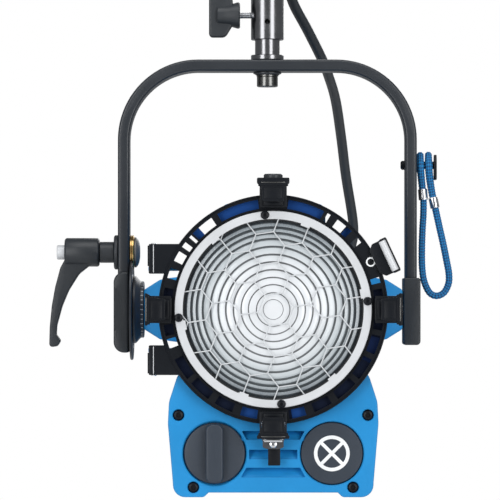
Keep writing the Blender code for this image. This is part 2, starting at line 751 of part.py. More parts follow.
def make_ring(parent, look, pivot):
    """Ring of the lens door, with windows round it, the lens seat and the hinge knuckles."""
    profile = (
        (LIP_INNER, RING_BACK),
        (RING_R, RING_BACK),
        (RING_R, RING_FRONT + 0.6),
        (RING_R - 0.6, RING_FRONT),
        (RIM_INNER, RING_FRONT),
        (RIM_INNER, -107.0),
        (LIP_INNER, -107.0),
    )
    ring = finish("door_ring", turned("Y", (0, 0, 0), profile, 60), look["black"], parent, pivot)
    ears = bmesh.new()
    for side in (-1, 1):
        low, high = sorted((side * 26.3, side * 48.2))
        corners = ((-91.5, low, 1), (-66, low, 0), (-66, high, 0), (-91.5, high, 1))
        prism("Y", rounded(corners, 2), RING_FRONT + 0.4, RING_BACK - 0.4, ears)
    add(ring, ears)
    knuckles = bmesh.new()
    for side in (-1, 1):
        near, far = sorted((side * 32.0, side * 47.0))
        outline = arc(4.4, 0, 180, 8, (HINGE_X, HINGE_Y))
        outline += [Vector((HINGE_X - 4.4, -108)), Vector((HINGE_X + 4.4, -108))]
        prism("Z", outline, near, far, knuckles)
    add(ring, knuckles)
    keeper = around(box((80, -111.6, -6), (91.8, -105.4, 6)), LATCH_ANGLE)
    add(ring, keeper)
    holes = rod("Z", (HINGE_X, HINGE_Y, 0), 2.3, 31, 60, 12)
    rod("Z", (HINGE_X, HINGE_Y, 0), 2.3, -60, -31, 12, bm=holes)
    cut(ring, rod("Y", (0, 0, 0), RIM_INNER + 0.1, -120, -107, 72))
    for middle, span in WINDOWS:
        window_cutter(holes, middle, span)
    cut(ring, holes)


def make_pins(parent, look):
    for name, low, high in (("hinge_pin_upper", 28.0, 49.0), ("hinge_pin_lower", -49.0, -28.0)):
        pin = rod("Z", (HINGE_X, HINGE_Y, 0), 2.0, low, high, 12)
        finish(name, pin, look["steel"], parent)


def make_lens(parent, look, pivot):
    """Fresnel lens: a rim and two raised steps round a domed centre."""
    profile = [(0.0, -107.3), (LENS_R, -107.3), (LENS_R, -109.5), (65.5, -109.5)]
    edges = (52.0, 32.0)
    outer = 65.5
    for inner in edges:
        profile.append((outer - 0.6, -111.0))
        profile.append((inner, -113.2))
        profile.append((inner, -110.4))
        outer = inner
    profile += [(30.0, -111.0), (16.0, -112.8), (0.0, -113.3)]
    finish("fresnel_lens", turned("Y", (0, 0, 0), profile, 36), look["glass"], parent, pivot)


def make_lens_ring(parent, look, pivot):
    ring = ((66.8, -116.2), (72.3, -116.2), (72.3, -114.9), (66.8, -114.9))
    finish("lens_retaining_ring", turned("Y", (0, 0, 0), ring, 48), look["silver"], parent, pivot)


def make_guard(parent, look, pivot):
    """Flat guard of hexagonal meshes in front of the lens."""
    side = 13.1
    bar = 1.3
    lean = 8.5
    first = Vector((8.9, -44.8))
    turn = Matrix.Rotation(math.radians(lean), 2)
    disc = rod("Y", (0, 0, 0), 71.5, -114.6, -113.6, 60)
    guard = finish("wire_guard", disc, look["steel"], parent, pivot)
    holes = bmesh.new()
    for column in range(-4, 5):
        for row in range(-5, 6):
            x = 1.5 * side * column
            z = math.sqrt(3) * side * (row + column % 2 / 2)
            centre = first + turn @ Vector((x, z))
            corners = arc(side - bar / math.sqrt(3), lean, lean + 300, 5, centre)
            inside = [corner for corner in corners if corner.length < 68.0]
            if len(inside) == 6:
                prism("Y", corners, -116, -112, holes)
            elif len(inside) > 3:
                prism("Y", inside, -116, -112, holes)
    cut(guard, holes)


def make_brackets(parent, look, pivot):
    """Four brackets round the ring; a 168 mm accessory frame slides between lip and ring."""
    places = (("bracket_right", 0), ("bracket_top", 90), ("bracket_left", 180), ("bracket_bottom", 270))
    for name, angle in places:
        foot = box((75, -114.2, -10), (93, -112.3, 10))
        bracket = finish(name, around(foot, angle), look["black"], parent, pivot)
        add(bracket, around(box((90.5, -124.5, -11), (93, -112.9, 11)), angle))
        add(bracket, around(box((78.5, -124.3, -8.6), (91.0, -122.6, 8.6)), angle))


def make_top_catch(parent, look, pivot):
    """Sprung plunger on the top bracket that keeps an accessory from sliding out."""
    profile = ((0.0, 93.4), (5.0, 93.4), (7.0, 94.4), (7.0, 98.6), (6.2, 99.4), (0.0, 99.4))
    finish("top_catch", turned("Z", (0, -118.5, 0), profile, 20), look["plastic"], parent, pivot)


def make_spring_clip(parent, look, pivot):
    """Sprung clip under the bottom bracket, and the strap behind it."""
    corners = (
        (-10, -93.4, 0),
        (10, -93.4, 0),
        (7.7, -101, 1),
        (4, -102.5, 1),
        (-4, -102.5, 1),
        (-7.7, -101, 1),
    )
    finish("spring_clip", prism("Y", rounded(corners, 2), -116.0, -113.0), look["chrome"], parent, pivot)
    strap = box((-3.8, -112.6, -114.7), (5.2, -110.6, -93.4))
    finish("clip_strap", strap, look["black"], parent, pivot)


def make_latch(parent, look, pivot):
    """Bracket on the barrel and the sprung arm whose roller keeps the door shut."""
    r = LATCH_PIVOT_R
    y = LATCH_PIVOT_Y
    plate = around(box((70.9, -102, -5), (97, -88, 5)), LATCH_ANGLE)
    bracket = finish("latch_bracket", plate, look["black"], parent)
    add(bracket, around(rod("Z", (r, y, 0), 1.5, -13, 13, 12), LATCH_ANGLE))
    block = around(box((92.3, -117, -13.5), (97.3, -90.5, 13.5)), LATCH_ANGLE)
    arm = finish("latch_arm", block, look["chrome"], parent, pivot)
    cut(arm, around(box((85, -103, -5.4), (105, -80, 5.4)), LATCH_ANGLE))
    cut(arm, around(rod("Z", (r, y, 0), 1.8, -20, 20, 12), LATCH_ANGLE))


# ---------------------------------------------------------------- power cable

def make_cable(hanging, head, look):
    """Power cable: tail on the head, tied coil behind it, run up the yoke to the plug."""
    cord("cable_tail", TAIL_ROUTE, CABLE_D, 12.0, look["rubber"], head)
    lens = Vector((LENS_X, 0, 0))
    cord("cable_loop", [Vector(point) + lens for point in LOOP_ROUTE], CABLE_D, 16.0, look["rubber"], hanging)
    sides = ((1, 1, 0), (1, 1, 1), (-1, 1, 1), (-1, 1, 0), (-1, -1, 0), (-1, -1, 1), (1, -1, 1), (1, -1, 0))
    ring = []
    for across, along_axis, steep in sides:
        u = COIL_CHAMFER if steep else COIL_HALF
        v = COIL_HALF if steep else COIL_CHAMFER
        ring.append((COIL_MEAN_R + across * u, along_axis * v))
    finish("cable_coil", turned("Y", COIL_CENTRE, ring, 24), look["rubber"], hanging)
    cord("cable_run", RUN_ROUTE, CABLE_D, 18.0, look["rubber"], hanging)
    plug = ((0.0, 0.0), (5.5, 0.0), (7.5, 10.0), (15.0, 17.0), (15.5, 34.0), (14.5, 36.0), (0.0, 36.0))
    down = [(radius, PLUG_TOP[2] - place) for radius, place in plug]
    finish("plug", turned("Z", (PLUG_TOP[0], PLUG_TOP[1], 0), down, 24), look["rubber"], hanging)


def main():
    for old in list(bpy.data.objects):
        bpy.data.objects.remove(old, do_unlink=True)
    look = {
        "black": material("black_paint", (0.022, 0.025, 0.03), 0.42),
        "plastic": material("black_plastic", (0.03, 0.032, 0.036), 0.5),
        "blue": material("blue_paint", (0.02, 0.27, 0.68), 0.35),
        "grey": material("dark_grey_plastic", (0.05, 0.055, 0.065), 0.5),
        "chrome": material("chrome", (0.72, 0.73, 0.75), 0.15, 1.0),
        "steel": material("steel", (0.55, 0.56, 0.58), 0.3, 1.0),
        "silver": material("silver_ring", (0.78, 0.79, 0.81), 0.35, 1.0),
        "mirror": material("mirror", (0.9, 0.9, 0.92), 0.06, 1.0),
        "brass": material("brass", (0.75, 0.55, 0.22), 0.3, 1.0),
        "glass": material("glass", (0.9, 0.93, 0.95), 0.05),
        "ceramic": material("ceramic", (0.85, 0.84, 0.8), 0.6),
        "rubber": material("black_rubber", (0.02, 0.02, 0.022), 0.6),
        "rope": material("blue_rope", (0.04, 0.25, 0.55), 0.7),
    }
    hanging = frame("hanging_frame", (0.0, 0.0, TILT_Z))
    make_yoke(hanging, look)
    make_yoke_caps(hanging, look)
    make_receptacle(hanging, look)
    make_t_knob(hanging, look)
    make_clamp(hanging, look)
    make_tilt_lever(hanging, look)
    make_pivots(hanging, look)
    make_safety_hook(hanging, look)
    make_safety_cord(hanging, look)
    head = frame("head_on_tilt_axis", (LENS_X, 0.0, TILT_Z))
    make_barrel(head, look)
    make_base(head, look)
    make_front_panel(head, look)
    make_badge(head, look)
    make_focus(head, look)
    make_rods(head, look)
    make_carriage(head, look)
    make_discs(head, look)
    make_rear(head, look)
    make_vent_cover(head, look)
    door = (HINGE_X, HINGE_Y, 0.0)
    make_ring(head, look, door)
    make_pins(head, look)
    make_lens(head, look, door)
    make_lens_ring(head, look, door)
    make_guard(head, look, door)
    make_brackets(head, look, door)
    make_top_catch(head, look, door)
    make_spring_clip(head, look, door)
    angle = math.radians(LATCH_ANGLE)
    latch = (LATCH_PIVOT_R * math.cos(angle), LATCH_PIVOT_Y, LATCH_PIVOT_R * math.sin(angle))
    make_latch(head, look, latch)
    make_cable(hanging, head, look)


main()
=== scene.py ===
"""A fresnel spotlight hanging in its yoke from a 16 mm stud.

Sizes below are millimetres from the tilt axis, and a piece is turned into metres in the shared frame
as it is finished. The origin is the centre of the receptacle's mouth, -Y is the way the lamp shines.
"""

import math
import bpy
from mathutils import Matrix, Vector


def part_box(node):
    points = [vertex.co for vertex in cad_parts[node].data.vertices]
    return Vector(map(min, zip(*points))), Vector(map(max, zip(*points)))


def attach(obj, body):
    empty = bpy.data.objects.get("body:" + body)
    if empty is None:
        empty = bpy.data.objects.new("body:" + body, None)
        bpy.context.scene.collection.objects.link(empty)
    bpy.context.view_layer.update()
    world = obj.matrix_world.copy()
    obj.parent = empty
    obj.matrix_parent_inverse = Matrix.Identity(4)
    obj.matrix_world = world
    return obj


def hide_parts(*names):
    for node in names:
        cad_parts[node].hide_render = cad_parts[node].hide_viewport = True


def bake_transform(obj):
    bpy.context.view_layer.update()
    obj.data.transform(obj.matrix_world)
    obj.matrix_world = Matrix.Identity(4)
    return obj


bl_info = {
    "name": "Fresnel spotlight",
    "version": (1, 0, 0),
    "blender": (4, 5, 0),
    "location": "3D View > Sidebar > Spotlight",
    "description": "Builds a studio spotlight with a fresnel lens, its yoke, cords and clamps",
    "category": "Add Mesh",
}

import bmesh
import bpy
from mathutils import Matrix, Vector

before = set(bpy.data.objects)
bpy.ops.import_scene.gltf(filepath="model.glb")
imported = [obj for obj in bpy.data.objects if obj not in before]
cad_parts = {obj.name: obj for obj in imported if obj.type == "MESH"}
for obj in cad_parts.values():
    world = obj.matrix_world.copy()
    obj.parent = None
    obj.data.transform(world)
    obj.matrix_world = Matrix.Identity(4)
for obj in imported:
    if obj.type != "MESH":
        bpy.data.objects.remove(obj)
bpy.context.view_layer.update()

METRE = 0.001
MILLIMETRES = 1000.0
GAP = 0.3


def middle(node):
    """Centre of a node's box in millimetres."""
    low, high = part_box(node)
    return (low + high) * MILLIMETRES / 2


# Tilt axis and lens axis, in millimetres
TILT_Z = middle("brake_disc").z
LENS_X = middle("fresnel_lens").x
HANGING = Vector((0.0, 0.0, TILT_Z))
HEAD = Vector((LENS_X, 0.0, TILT_Z))

# Yoke
YOKE_HALF_WIDTH = 113.6
YOKE_BAR = 8.8
YOKE_DEPTH = 29.0
YOKE_TOP = 190.0
YOKE_BOTTOM = -22.0
YOKE_BEND = 61.0
CLAMP_Z = 43.6
HOOK_Z = 110.0
PIVOT_R = 5.0
T_KNOB_Z = 224.3

# Head
BARREL_R = 70.5
BARREL_FRONT = -103.0
BARREL_BACK = 96.0
BASE_FRONT = -104.5
PANEL_BACK = -95.0
BASE_BACK = 98.0
BASE_FOOT = -138.3
DISC_X = 43.2
DISC_Z = -106.0
SCREW_PLACES = ((-69.8, -77.8), (69.8, -77.8), (-58.8, -131.0), (58.8, -131.0))
# Louvres: half widths at the top and at the bottom, then the bottom and the top
LOUVRES = ((23.2, 19.6, -96.0, -89.5), (17.8, 17.8, -110.2, -103.3), (19.8, 23.8, -123.6, -116.5))

# Lens door
RIM_INNER = 72.6
HINGE_X = -88.0
HINGE_Y = -99.5
HINGE_PIN_R = 2.0
LATCH_ANGLE = 25.0
# Accessory brackets: CAD node, angle round the lens in degrees, and how far the wings reach out
BRACKETS = (
    ("bracket_right", 0, 94.6), ("bracket_top", 90, 96.4), ("bracket_left", 180, 93.9),
    ("bracket_bottom", 270, 94.6),
)
# Windows round the ring: middle and span in degrees; those with no painted shadow plate behind them are
# see-through
WINDOWS = (
    (109.2, 22.4), (130.3, 12.6), (138.6, 1.6), (144.0, 3.0), (151.0, 5.6), (160.5, 5.6), (171, 5), (191, 6),
    (198.2, 5.0), (213, 12), (228, 12), (243, 10), (257, 9), (283, 9), (297, 10), (312, 12), (327, 12),
    (341, 10), (352, 6), (8, 6), (15.6, 3.0), (39.0, 3.4), (46.6, 3.2), (51.6, 5.6), (59.6, 1.8),
    (72.3, 19.4),
)
WINDOW_RADII = (74.6, 81.4)
SHADOW_PLATE_RADII = (73.8, 82.2)
# Plates behind the windows, from one angle to the next: painted shade, near-black and darkened blue, for the
# shaded inside of the head
DEEP_SHADOW_SPANS = ((168.0, 195.0), (201.4, 252.0), (262.0, 280.0), (290.0, 331.0), (345.0, 373.4))
HALF_SHADOW_SPANS = ((331.0, 345.0),)
SHADED_BLUE_SPANS = ((62.0, 82.6), (97.2, 121.0), (132.4, 137.0), (44.8, 48.5), (252.0, 262.0), (280.0, 290.0))

# Radii of the lens steps, the flat they rise from, and the back of the glass
LENS_STEPS = (7.5, 12.6, 18.6, 24.0, 29.7, 35.4, 41.0, 46.8, 52.5, 57.0, 61.0, 65.5)
LENS_FLAT = -110.2
LENS_BACK = -107.3
LENS_RIM_R = 67.5
RING_FACE = -112.0
GUARD_Y = -114.1
GUARD_LIMIT = 70.6

# Power cable in metres: from inside the gland to the coil, and from the coil to the plug
CABLE_D = 0.008
CABLE_OUT = (
    (0.05245, 0.1090, -0.3420), (0.05245, 0.1267, -0.3420), (0.05245, 0.1350, -0.3424),
    (0.05255, 0.1450, -0.3448), (0.05275, 0.1556, -0.3500), (0.05245, 0.1660, -0.3562),
    (0.04645, 0.1800, -0.3620), (0.03445, 0.1890, -0.3620), (0.02145, 0.1956, -0.3520),
)
CABLE_UP = (
    (0.0236, 0.2076, -0.2474), (0.0380, 0.2064, -0.2390), (0.0520, 0.2036, -0.2288),
    (0.0624, 0.1994, -0.2156), (0.0676, 0.1944, -0.1996), (0.0694, 0.1880, -0.1815),
    (0.0630, 0.1660, -0.1425), (0.0588, 0.1400, -0.1130), (0.0536, 0.1040, -0.0842),
    (0.0469, 0.0720, -0.0652), (0.0420, 0.0560, -0.0545), (0.0307, 0.0360, -0.0337),
    (0.0205, 0.0210, -0.0160), (0.0169, 0.0120, -0.0040), (0.0170, 0.0100, 0.0120),
    (0.0170, 0.0100, 0.0300), (0.0170, 0.0100, 0.0460), (0.0182, 0.0140, 0.0617),
    (0.0215, 0.0250, 0.0731), (0.0260, 0.0400, 0.0773), (0.0305, 0.0550, 0.0731),
    (0.0338, 0.0660, 0.0617), (0.0350, 0.0700, 0.0473), (0.0350, 0.0700, 0.0417),
)
COIL_CENTRE = Vector((0.018, 0.204, -0.302))
COIL_MEAN_R = 0.040
COIL_OFFSET = 0.0041
COIL_START = -115.0
COIL_SWEEP = 1205.0
PLUG_TOP = Vector((35.0, 70.0, 294.5))

# Axis of the cable gland in millimetres from the head's origin
GLAND = (48.0, 0.0, -92.0)

# Safety cord in metres: from the inner ferrule over the hook, down and back up to the outer one
ROPE_D = 0.005
ROPE_ROUTE = (
    (0.1190, 0.0029, -0.1662), (0.1183, 0.0030, -0.1580), (0.1172, 0.0062, -0.1470),
    (0.1167, 0.0069, -0.1395), (0.1166, 0.0000, -0.1322), (0.1167, -0.0069, -0.1395),
    (0.1172, -0.0062, -0.1470), (0.1183, -0.0030, -0.1580), (0.1190, -0.0029, -0.1660),
    (0.1189, -0.0030, -0.1780), (0.1182, -0.0034, -0.1893), (0.1177, -0.0040, -0.2046),
    (0.1179, -0.0050, -0.2180), (0.1194, -0.0060, -0.2285), (0.1234, -0.0065, -0.2370),
    (0.1288, -0.0065, -0.2396), (0.1344, -0.0060, -0.2372), (0.1379, -0.0054, -0.2305),
    (0.1383, -0.0050, -0.2230), (0.1365, -0.0042, -0.2125), (0.1339, -0.0036, -0.1995),
    (0.1312, -0.0032, -0.1875), (0.1286, -0.0030, -0.1756), (0.1270, -0.0029, -0.1680),
    (0.1252, -0.0034, -0.1590), (0.1236, -0.0062, -0.1480), (0.1230, -0.0069, -0.1395),
    (0.1228, 0.0000, -0.1322), (0.1230, 0.0069, -0.1395), (0.1236, 0.0062, -0.1480),
    (0.1252, 0.0034, -0.1590), (0.1270, 0.0029, -0.1680), (0.1278, 0.0029, -0.1718),
)

# Camera
CAMERA_DISTANCE = 2.997
CAMERA_LENS = 282.8
CAMERA_SHIFT = (-0.0464, 0.119)
FLOOR_Z = -0.80

# Light: name, place, size and power of each softbox, and what they point at
SOFTBOXES = (
    ("left_softbox", (-1.35, -1.9, 0.1), (1.0, 1.8), 24.0),
    ("right_softbox", (1.35, -1.9, 0.1), (1.0, 1.8), 24.0),
    ("top_softbox", (0.0, -0.7, 1.3), (1.6, 1.0), 14.0),
    ("rear_softbox", (0.6, 2.2, 0.7), (1.4, 1.2), 16.0),
)
LIGHT_AIM = Vector((0, 0, -0.25))
SKY_COLOUR = (0.93, 0.965, 1.0, 1.0)
SKY_STRENGTH = 0.26
BACKDROP_COLOUR = (1.0, 1.0, 1.0, 1.0)


# ---------------------------------------------------------------- shader expressions

class Value:
    """A number or colour socket; arithmetic on it adds Math nodes."""

    def __init__(self, look, socket):
        self.look = look
        self.socket = socket

    def math(self, operation, first, second=0.0):
        return self.look.node("Math", {"operation": operation}, {0: first, 1: second})

    def __add__(self, other):
        return self.math("ADD", self, other)

    def __sub__(self, other):
        return self.math("SUBTRACT", self, other)

    def __rsub__(self, other):
        return self.math("SUBTRACT", other, self)

    def __mul__(self, other):
        return self.math("MULTIPLY", self, other)

    def __truediv__(self, other):
        return self.math("DIVIDE", self, other)

    def over(self, edge):
        return self.math("GREATER_THAN", self, edge)

    def clamp(self):
        return self.look.node("Clamp", {}, {"Value": self})

    __radd__ = __add__
    __rmul__ = __mul__


class Look:
    """A material under construction."""

    def __init__(self, name, **constants):
        self.material = bpy.data.materials.new(name)
        self.material.use_nodes = True
        self.tree = self.material.node_tree
        self.shader = self.tree.nodes["Principled BSDF"]
        for key, value in constants.items():
            self.shader.inputs[key.replace("_", " ").title()].default_value = value

    def node(self, kind, settings=None, sockets=None, output=0):
        """Adds a node: its settings are set first, then its sockets are given values or links."""
        made = self.tree.nodes.new(f"ShaderNode{kind}")
        for key, value in (settings or {}).items():
            if key == "stops":
                self.set_stops(made.color_ramp, value)
            else:
                setattr(made, key, value)
        for key, value in (sockets or {}).items():
            if isinstance(value, Value):
                self.tree.links.new(value.socket, made.inputs[key])
            else:
                made.inputs[key].default_value = value
        return Value(self, made.outputs[output])

    def set_stops(self, ramp, stops):
        """Sets a ramp's places and colours."""
        while len(ramp.elements) < len(stops):
            ramp.elements.new(1.0)
        for element, (place, shade) in zip(ramp.elements, stops):
            element.position = place
            element.color = (*shade, 1.0)

    def coordinates(self):
        return self.node("TexCoord", {}, {}, "Object")

    def attribute(self, name, output):
        return self.node("Attribute", {"attribute_name": name}, {}, output)

    def noise(self, place, scale, detail=3.0, rough=0.55, stretch=(1.0, 1.0, 1.0)):
        """Noise with its contrast kept; scale is in waves per metre."""
        placed = self.node("Mapping", {}, {"Vector": place, "Scale": stretch})
        return self.node(
            "TexNoise", {}, {"Vector": placed, "Scale": scale, "Detail": detail, "Roughness": rough}, "Fac"
        )

    def cells(self, place, scale, feature="F1"):
        return self.node("TexVoronoi", {"feature": feature}, {"Vector": place, "Scale": scale}, "Distance")

    def mix(self, share, first, second):
        """Mixes two colours by a share."""
        made = self.tree.nodes.new("ShaderNodeMix")
        made.data_type = "RGBA"
        for key, value in ((0, share), (6, first), (7, second)):
            if isinstance(value, Value):
                self.tree.links.new(value.socket, made.inputs[key])
            elif key:
                made.inputs[key].default_value = (*value, 1.0)
            else:
                made.inputs[key].default_value = value
        return Value(self, made.outputs[2])

    def bump(self, height, distance, strength=1.0):
        normal = self.node("Bump", {}, {"Height": height, "Distance": distance, "Strength": strength})
        self.feed("Normal", normal)

    def feed(self, socket, value):
        self.tree.links.new(value.socket, self.shader.inputs[socket])


def tinted(colour, amount):
    """A colour made darker or lighter."""
    return tuple(channel * amount for channel in colour)


def powder_coat(name, colour, roughness, texture, depth, shine=0.5):
    """Sprayed paint: fine texture, slightly uneven gloss, faint dust and rubbed spots."""
    look = Look(name)
    look.shader.inputs["Specular IOR Level"].default_value = shine
    place = look.coordinates()
    grain = look.noise(place, texture, 4.0, 0.6)
    clouds = look.noise(place, 22.0, 4.0, 0.6)
    rubs = look.noise(place, 90.0, 6.0, 0.7, (1.0, 0.35, 1.0))
    worn = ((rubs - 0.62) * 7.0).clamp()
    body = look.mix(clouds, tinted(colour, 0.82), tinted(colour, 1.16))
    lifted = look.mix(worn * 0.3, body, tuple(channel * 0.85 + 0.03 for channel in colour))
    look.feed("Base Color", lifted)
    look.feed("Roughness", (grain - 0.5) * 0.16 + (clouds - 0.5) * 0.14 + roughness - worn * 0.08)
    look.bump(grain, depth, 0.6)
    return look.material


def moulded(name, colour, roughness):
    """Moulded plastic: spark-eroded texture with a few paler scuffs."""
    look = Look(name)
    place = look.coordinates()
    pits = look.cells(place, 1500.0)
    clouds = look.noise(place, 35.0, 3.0)
    scuffs = look.noise(place, 260.0, 5.0, 0.7, (1.0, 1.0, 0.12))
    marks = ((scuffs - 0.64) * 8.0).clamp()
    body = look.mix(clouds, tinted(colour, 0.85), tinted(colour, 1.15))
    look.feed("Base Color", look.mix(marks * 0.3, body, tuple(channel + 0.05 for channel in colour)))
    look.feed("Roughness", (clouds - 0.5) * 0.2 + roughness - marks * 0.1)
    look.bump(pits + clouds * 0.4, 0.00012, 0.5)
    return look.material


def turned_metal(name, colour, roughness, axis, depth=0.00002):
    """Metal with fine tool marks along one axis, and a little tarnish."""
    look = Look(name, metallic=1.0)
    place = look.coordinates()
    stretch = [0.02, 0.02, 0.02]
    stretch["XYZ".index(axis)] = 1.0
    marks = look.noise(place, 5200.0, 3.0, 0.6, tuple(stretch))
    tarnish = look.noise(place, 130.0, 5.0, 0.6)
    look.feed("Base Color", look.mix(tarnish, tinted(colour, 0.86), tinted(colour, 1.06)))
    look.feed("Roughness", (marks - 0.5) * 0.1 + (tarnish - 0.5) * 0.18 + roughness)
    look.bump(marks, depth, 0.5)
    return look.material


def cast_metal(name, colour, roughness):
    """Satin plated metal: fine grain in every direction, finger-dulled patches."""
    look = Look(name, metallic=1.0)
    place = look.coordinates()
    grain = look.noise(place, 1900.0, 4.0, 0.65)
    patches = look.noise(place, 60.0, 4.0, 0.6)
    look.feed("Base Color", look.mix(patches, tinted(colour, 0.9), tinted(colour, 1.05)))
    look.feed("Roughness", (grain - 0.5) * 0.12 + (patches - 0.5) * 0.2 + roughness)
    look.bump(grain, 0.00003, 0.5)
    return look.material


def satin_silver(name, colour):
    """Bead-blasted aluminium under clear lacquer: pale and soft, with a fine grain."""
    look = Look(name, metallic=0.15)
    place = look.coordinates()
    grain = look.noise(place, 2600.0, 3.0, 0.6)
    patches = look.noise(place, 70.0, 4.0, 0.6)
    look.feed("Base Color", look.mix(patches, tinted(colour, 0.9), tinted(colour, 1.08)))
    look.feed("Roughness", (grain - 0.5) * 0.12 + (patches - 0.5) * 0.15 + 0.42)
    look.bump(grain, 0.00004, 0.6)
    return look.material


def lens_glass(name, tint, share, painted_glow):
    """Pressed borosilicate with fine stipple near the rim; its bright middle, fading to darker blue-grey
    outwards, and its glow are painted light for the reflector seen through the glass.
    """
    look = Look(name, coat_weight=0.35, coat_roughness=0.1, emission_strength=painted_glow)
    place = look.coordinates()
    centred = look.node(
        "VectorMath", {"operation": "SUBTRACT"}, {0: place, 1: (HEAD.x * METRE, 0.0, HEAD.z * METRE)}
    )
    flat = look.node("VectorMath", {"operation": "MULTIPLY"}, {0: centred, 1: (1.0, 0.0, 1.0)})
    reach = look.node("VectorMath", {"operation": "LENGTH"}, {0: flat}, "Value") / (LENS_STEPS[-1] * METRE)
    stipple = look.cells(place, 900.0)
    streaks = look.noise(place, 60.0, 4.0, 0.6)
    spread = (reach + (streaks - 0.5) * 0.12).clamp()
    # Painted light: brightness by distance from the lens axis, white in the middle and darker blue-grey
    # towards the rim; share scales it.
    shade = look.node(
        "ValToRGB",
        {
            "stops": (
                (0.0, tinted((0.93, 0.95, 0.98), share)),
                (0.52, tinted((0.90, 0.93, 0.96), share)),
                (0.74, tinted((0.66, 0.71, 0.74), share)),
                (0.9, tinted((0.45, 0.50, 0.53), share)),
                (1.0, tinted((0.22, 0.25, 0.28), share)),
            )
        },
        {"Fac": spread},
        "Color",
    )
    speckled = look.mix(stipple.over(0.62) * (reach - 0.75).clamp() * 1.6, shade, tint)
    look.feed("Base Color", speckled)
    # Painted glow: the glass gives off light in the same ramp.
    look.feed("Emission Color", shade)
    look.feed("Roughness", (streaks - 0.5) * 0.08 + reach * 0.12 + 0.14)
    look.bump(stipple, 0.00008, 0.35)
    return look.material


def braid(name, light, valley_shade):
    """Plaited cover with single yarns within each strand; paler crowns, and darker valleys that are painted
    shade.
    """
    look = Look(name, sheen_weight=0.08, sheen_roughness=0.4)
    crown = look.attribute("crown", "Fac")
    place = look.coordinates()
    yarn = look.noise(place, 3200.0, 2.0, 0.6, (1.0, 1.0, 0.35))
    fade = look.noise(place, 60.0, 3.0)
    # Painted shade: the colour darkens from the crowns into the valleys of the plait.
    body = look.mix((crown * 1.15 - 0.1 + (yarn - 0.5) * 0.7 + (fade - 0.5) * 0.3).clamp(), valley_shade, light)
    look.feed("Base Color", body)
    look.feed("Roughness", (yarn - 0.5) * 0.2 + 0.72)
    look.bump(yarn + crown, 0.00012, 0.6)
    return look.material


def cable_jacket(name, colour):
    """Extruded rubber: faint lengthwise drawing marks and chalky patches."""
    look = Look(name)
    round_and_along = look.attribute("around", "Vector")
    drawn = look.noise(round_and_along, 9.0, 3.0, 0.6, (1.0, 1.0, 0.25))
    place = look.coordinates()
    chalk = look.noise(place, 45.0, 5.0, 0.65)
    grain = look.noise(place, 1600.0, 3.0)
    look.feed("Base Color", look.mix(chalk, tinted(colour, 0.8), tinted(colour, 1.35)))
    look.feed("Roughness", (chalk - 0.5) * 0.2 + (drawn - 0.5) * 0.12 + 0.42)
    look.bump(drawn + grain * 0.5, 0.00006, 0.6)
    return look.material


def make_looks(colours):
    """All the finishes by a short name."""
    return {
        "black": powder_coat("black_paint", tuple(colours.black_paint), 0.36, 2400.0, 0.00005),
        "deep": powder_coat("black_ring_paint", (0.0045, 0.006, 0.009), 0.38, 2400.0, 0.00005, 0.2),
        "blue": powder_coat("blue_paint", tuple(colours.blue_paint), 0.42, 1500.0, 0.00006, 0.25),
        # Painted shade: darker copies of the blue paint, down to near-black blue, for the plates behind the
        # ring's windows.
        "inside": powder_coat("inner_blue_painted_shade", (0.004, 0.060, 0.27), 0.6, 1500.0, 0.00008, 0.2),
        "half_shadow_blue": powder_coat("blue_painted_half_shadow", (0.003, 0.016, 0.075), 0.6, 1500.0, 0.00008, 0.15),
        "deep_shadow_navy": powder_coat("blue_painted_deep_shadow", (0.0015, 0.0065, 0.026), 0.6, 1500.0, 0.00008, 0.15),
        "plastic": moulded("black_plastic", (0.018, 0.022, 0.027), 0.42),
        "slate": moulded("dark_grey_plastic", tuple(colours.slate_plastic), 0.45),
        "white": moulded("white_inlay", (0.82, 0.84, 0.85), 0.5),
        "chrome": turned_metal("chrome", (0.24, 0.24, 0.25), 0.22, "Z"),
        "steel": turned_metal("steel", (0.46, 0.47, 0.49), 0.24, "X"),
        "bright": cast_metal("bright_plate", (0.72, 0.73, 0.75), 0.18),
        "dark_steel": cast_metal("dark_steel", (0.16, 0.16, 0.155), 0.26),
        "silver": satin_silver("silver_ring", (0.63, 0.645, 0.665)),
        "wire": satin_silver("guard_wire", (0.60, 0.62, 0.64)),
        "graphite": satin_silver("graphite", (0.050, 0.052, 0.058)),
        "dull": satin_silver("dull_steel", (0.15, 0.145, 0.14)),
        "mirror": cast_metal("mirror", (0.88, 0.89, 0.91), 0.08),
        "brass": turned_metal("brass", (0.62, 0.42, 0.17), 0.26, "X"),
        # Lens glass with painted light: a bright middle that also glows.
        "glass": lens_glass("lens_glass", tuple(colours.lens_tint), 0.74, 0.08),
        # Darker copy of the lens glass: painted shade for the steep rims of the lens steps.
        "painted_shade_glass": lens_glass("lens_step_painted_shade", tuple(colours.lens_tint), 0.2, 0.02),
        "ceramic": moulded("ceramic", (0.78, 0.76, 0.70), 0.55),
        "rubber": moulded("black_rubber", (0.016, 0.018, 0.021), 0.55),
        "jacket": cable_jacket("cable_jacket", (0.020, 0.025, 0.030)),
        # The near-black blue is painted shade for the valleys of the plait.
        "rope": braid("blue_rope", tuple(colours.rope_blue), (0.0, 0.020, 0.090)),
        "floor": powder_coat("studio_floor", (0.86, 0.86, 0.86), 0.75, 40.0, 0.0002),
    }


# ---------------------------------------------------------------- shapes

def along(axis):
    """Turns a shape built along Z so that it lies along the named axis."""
    turns = {
        "X": Matrix.Rotation(math.pi / 2, 4, "Y"),
        "Y": Matrix.Rotation(-math.pi / 2, 4, "X"),
        "Z": Matrix.Identity(4),
    }
    return turns[axis]


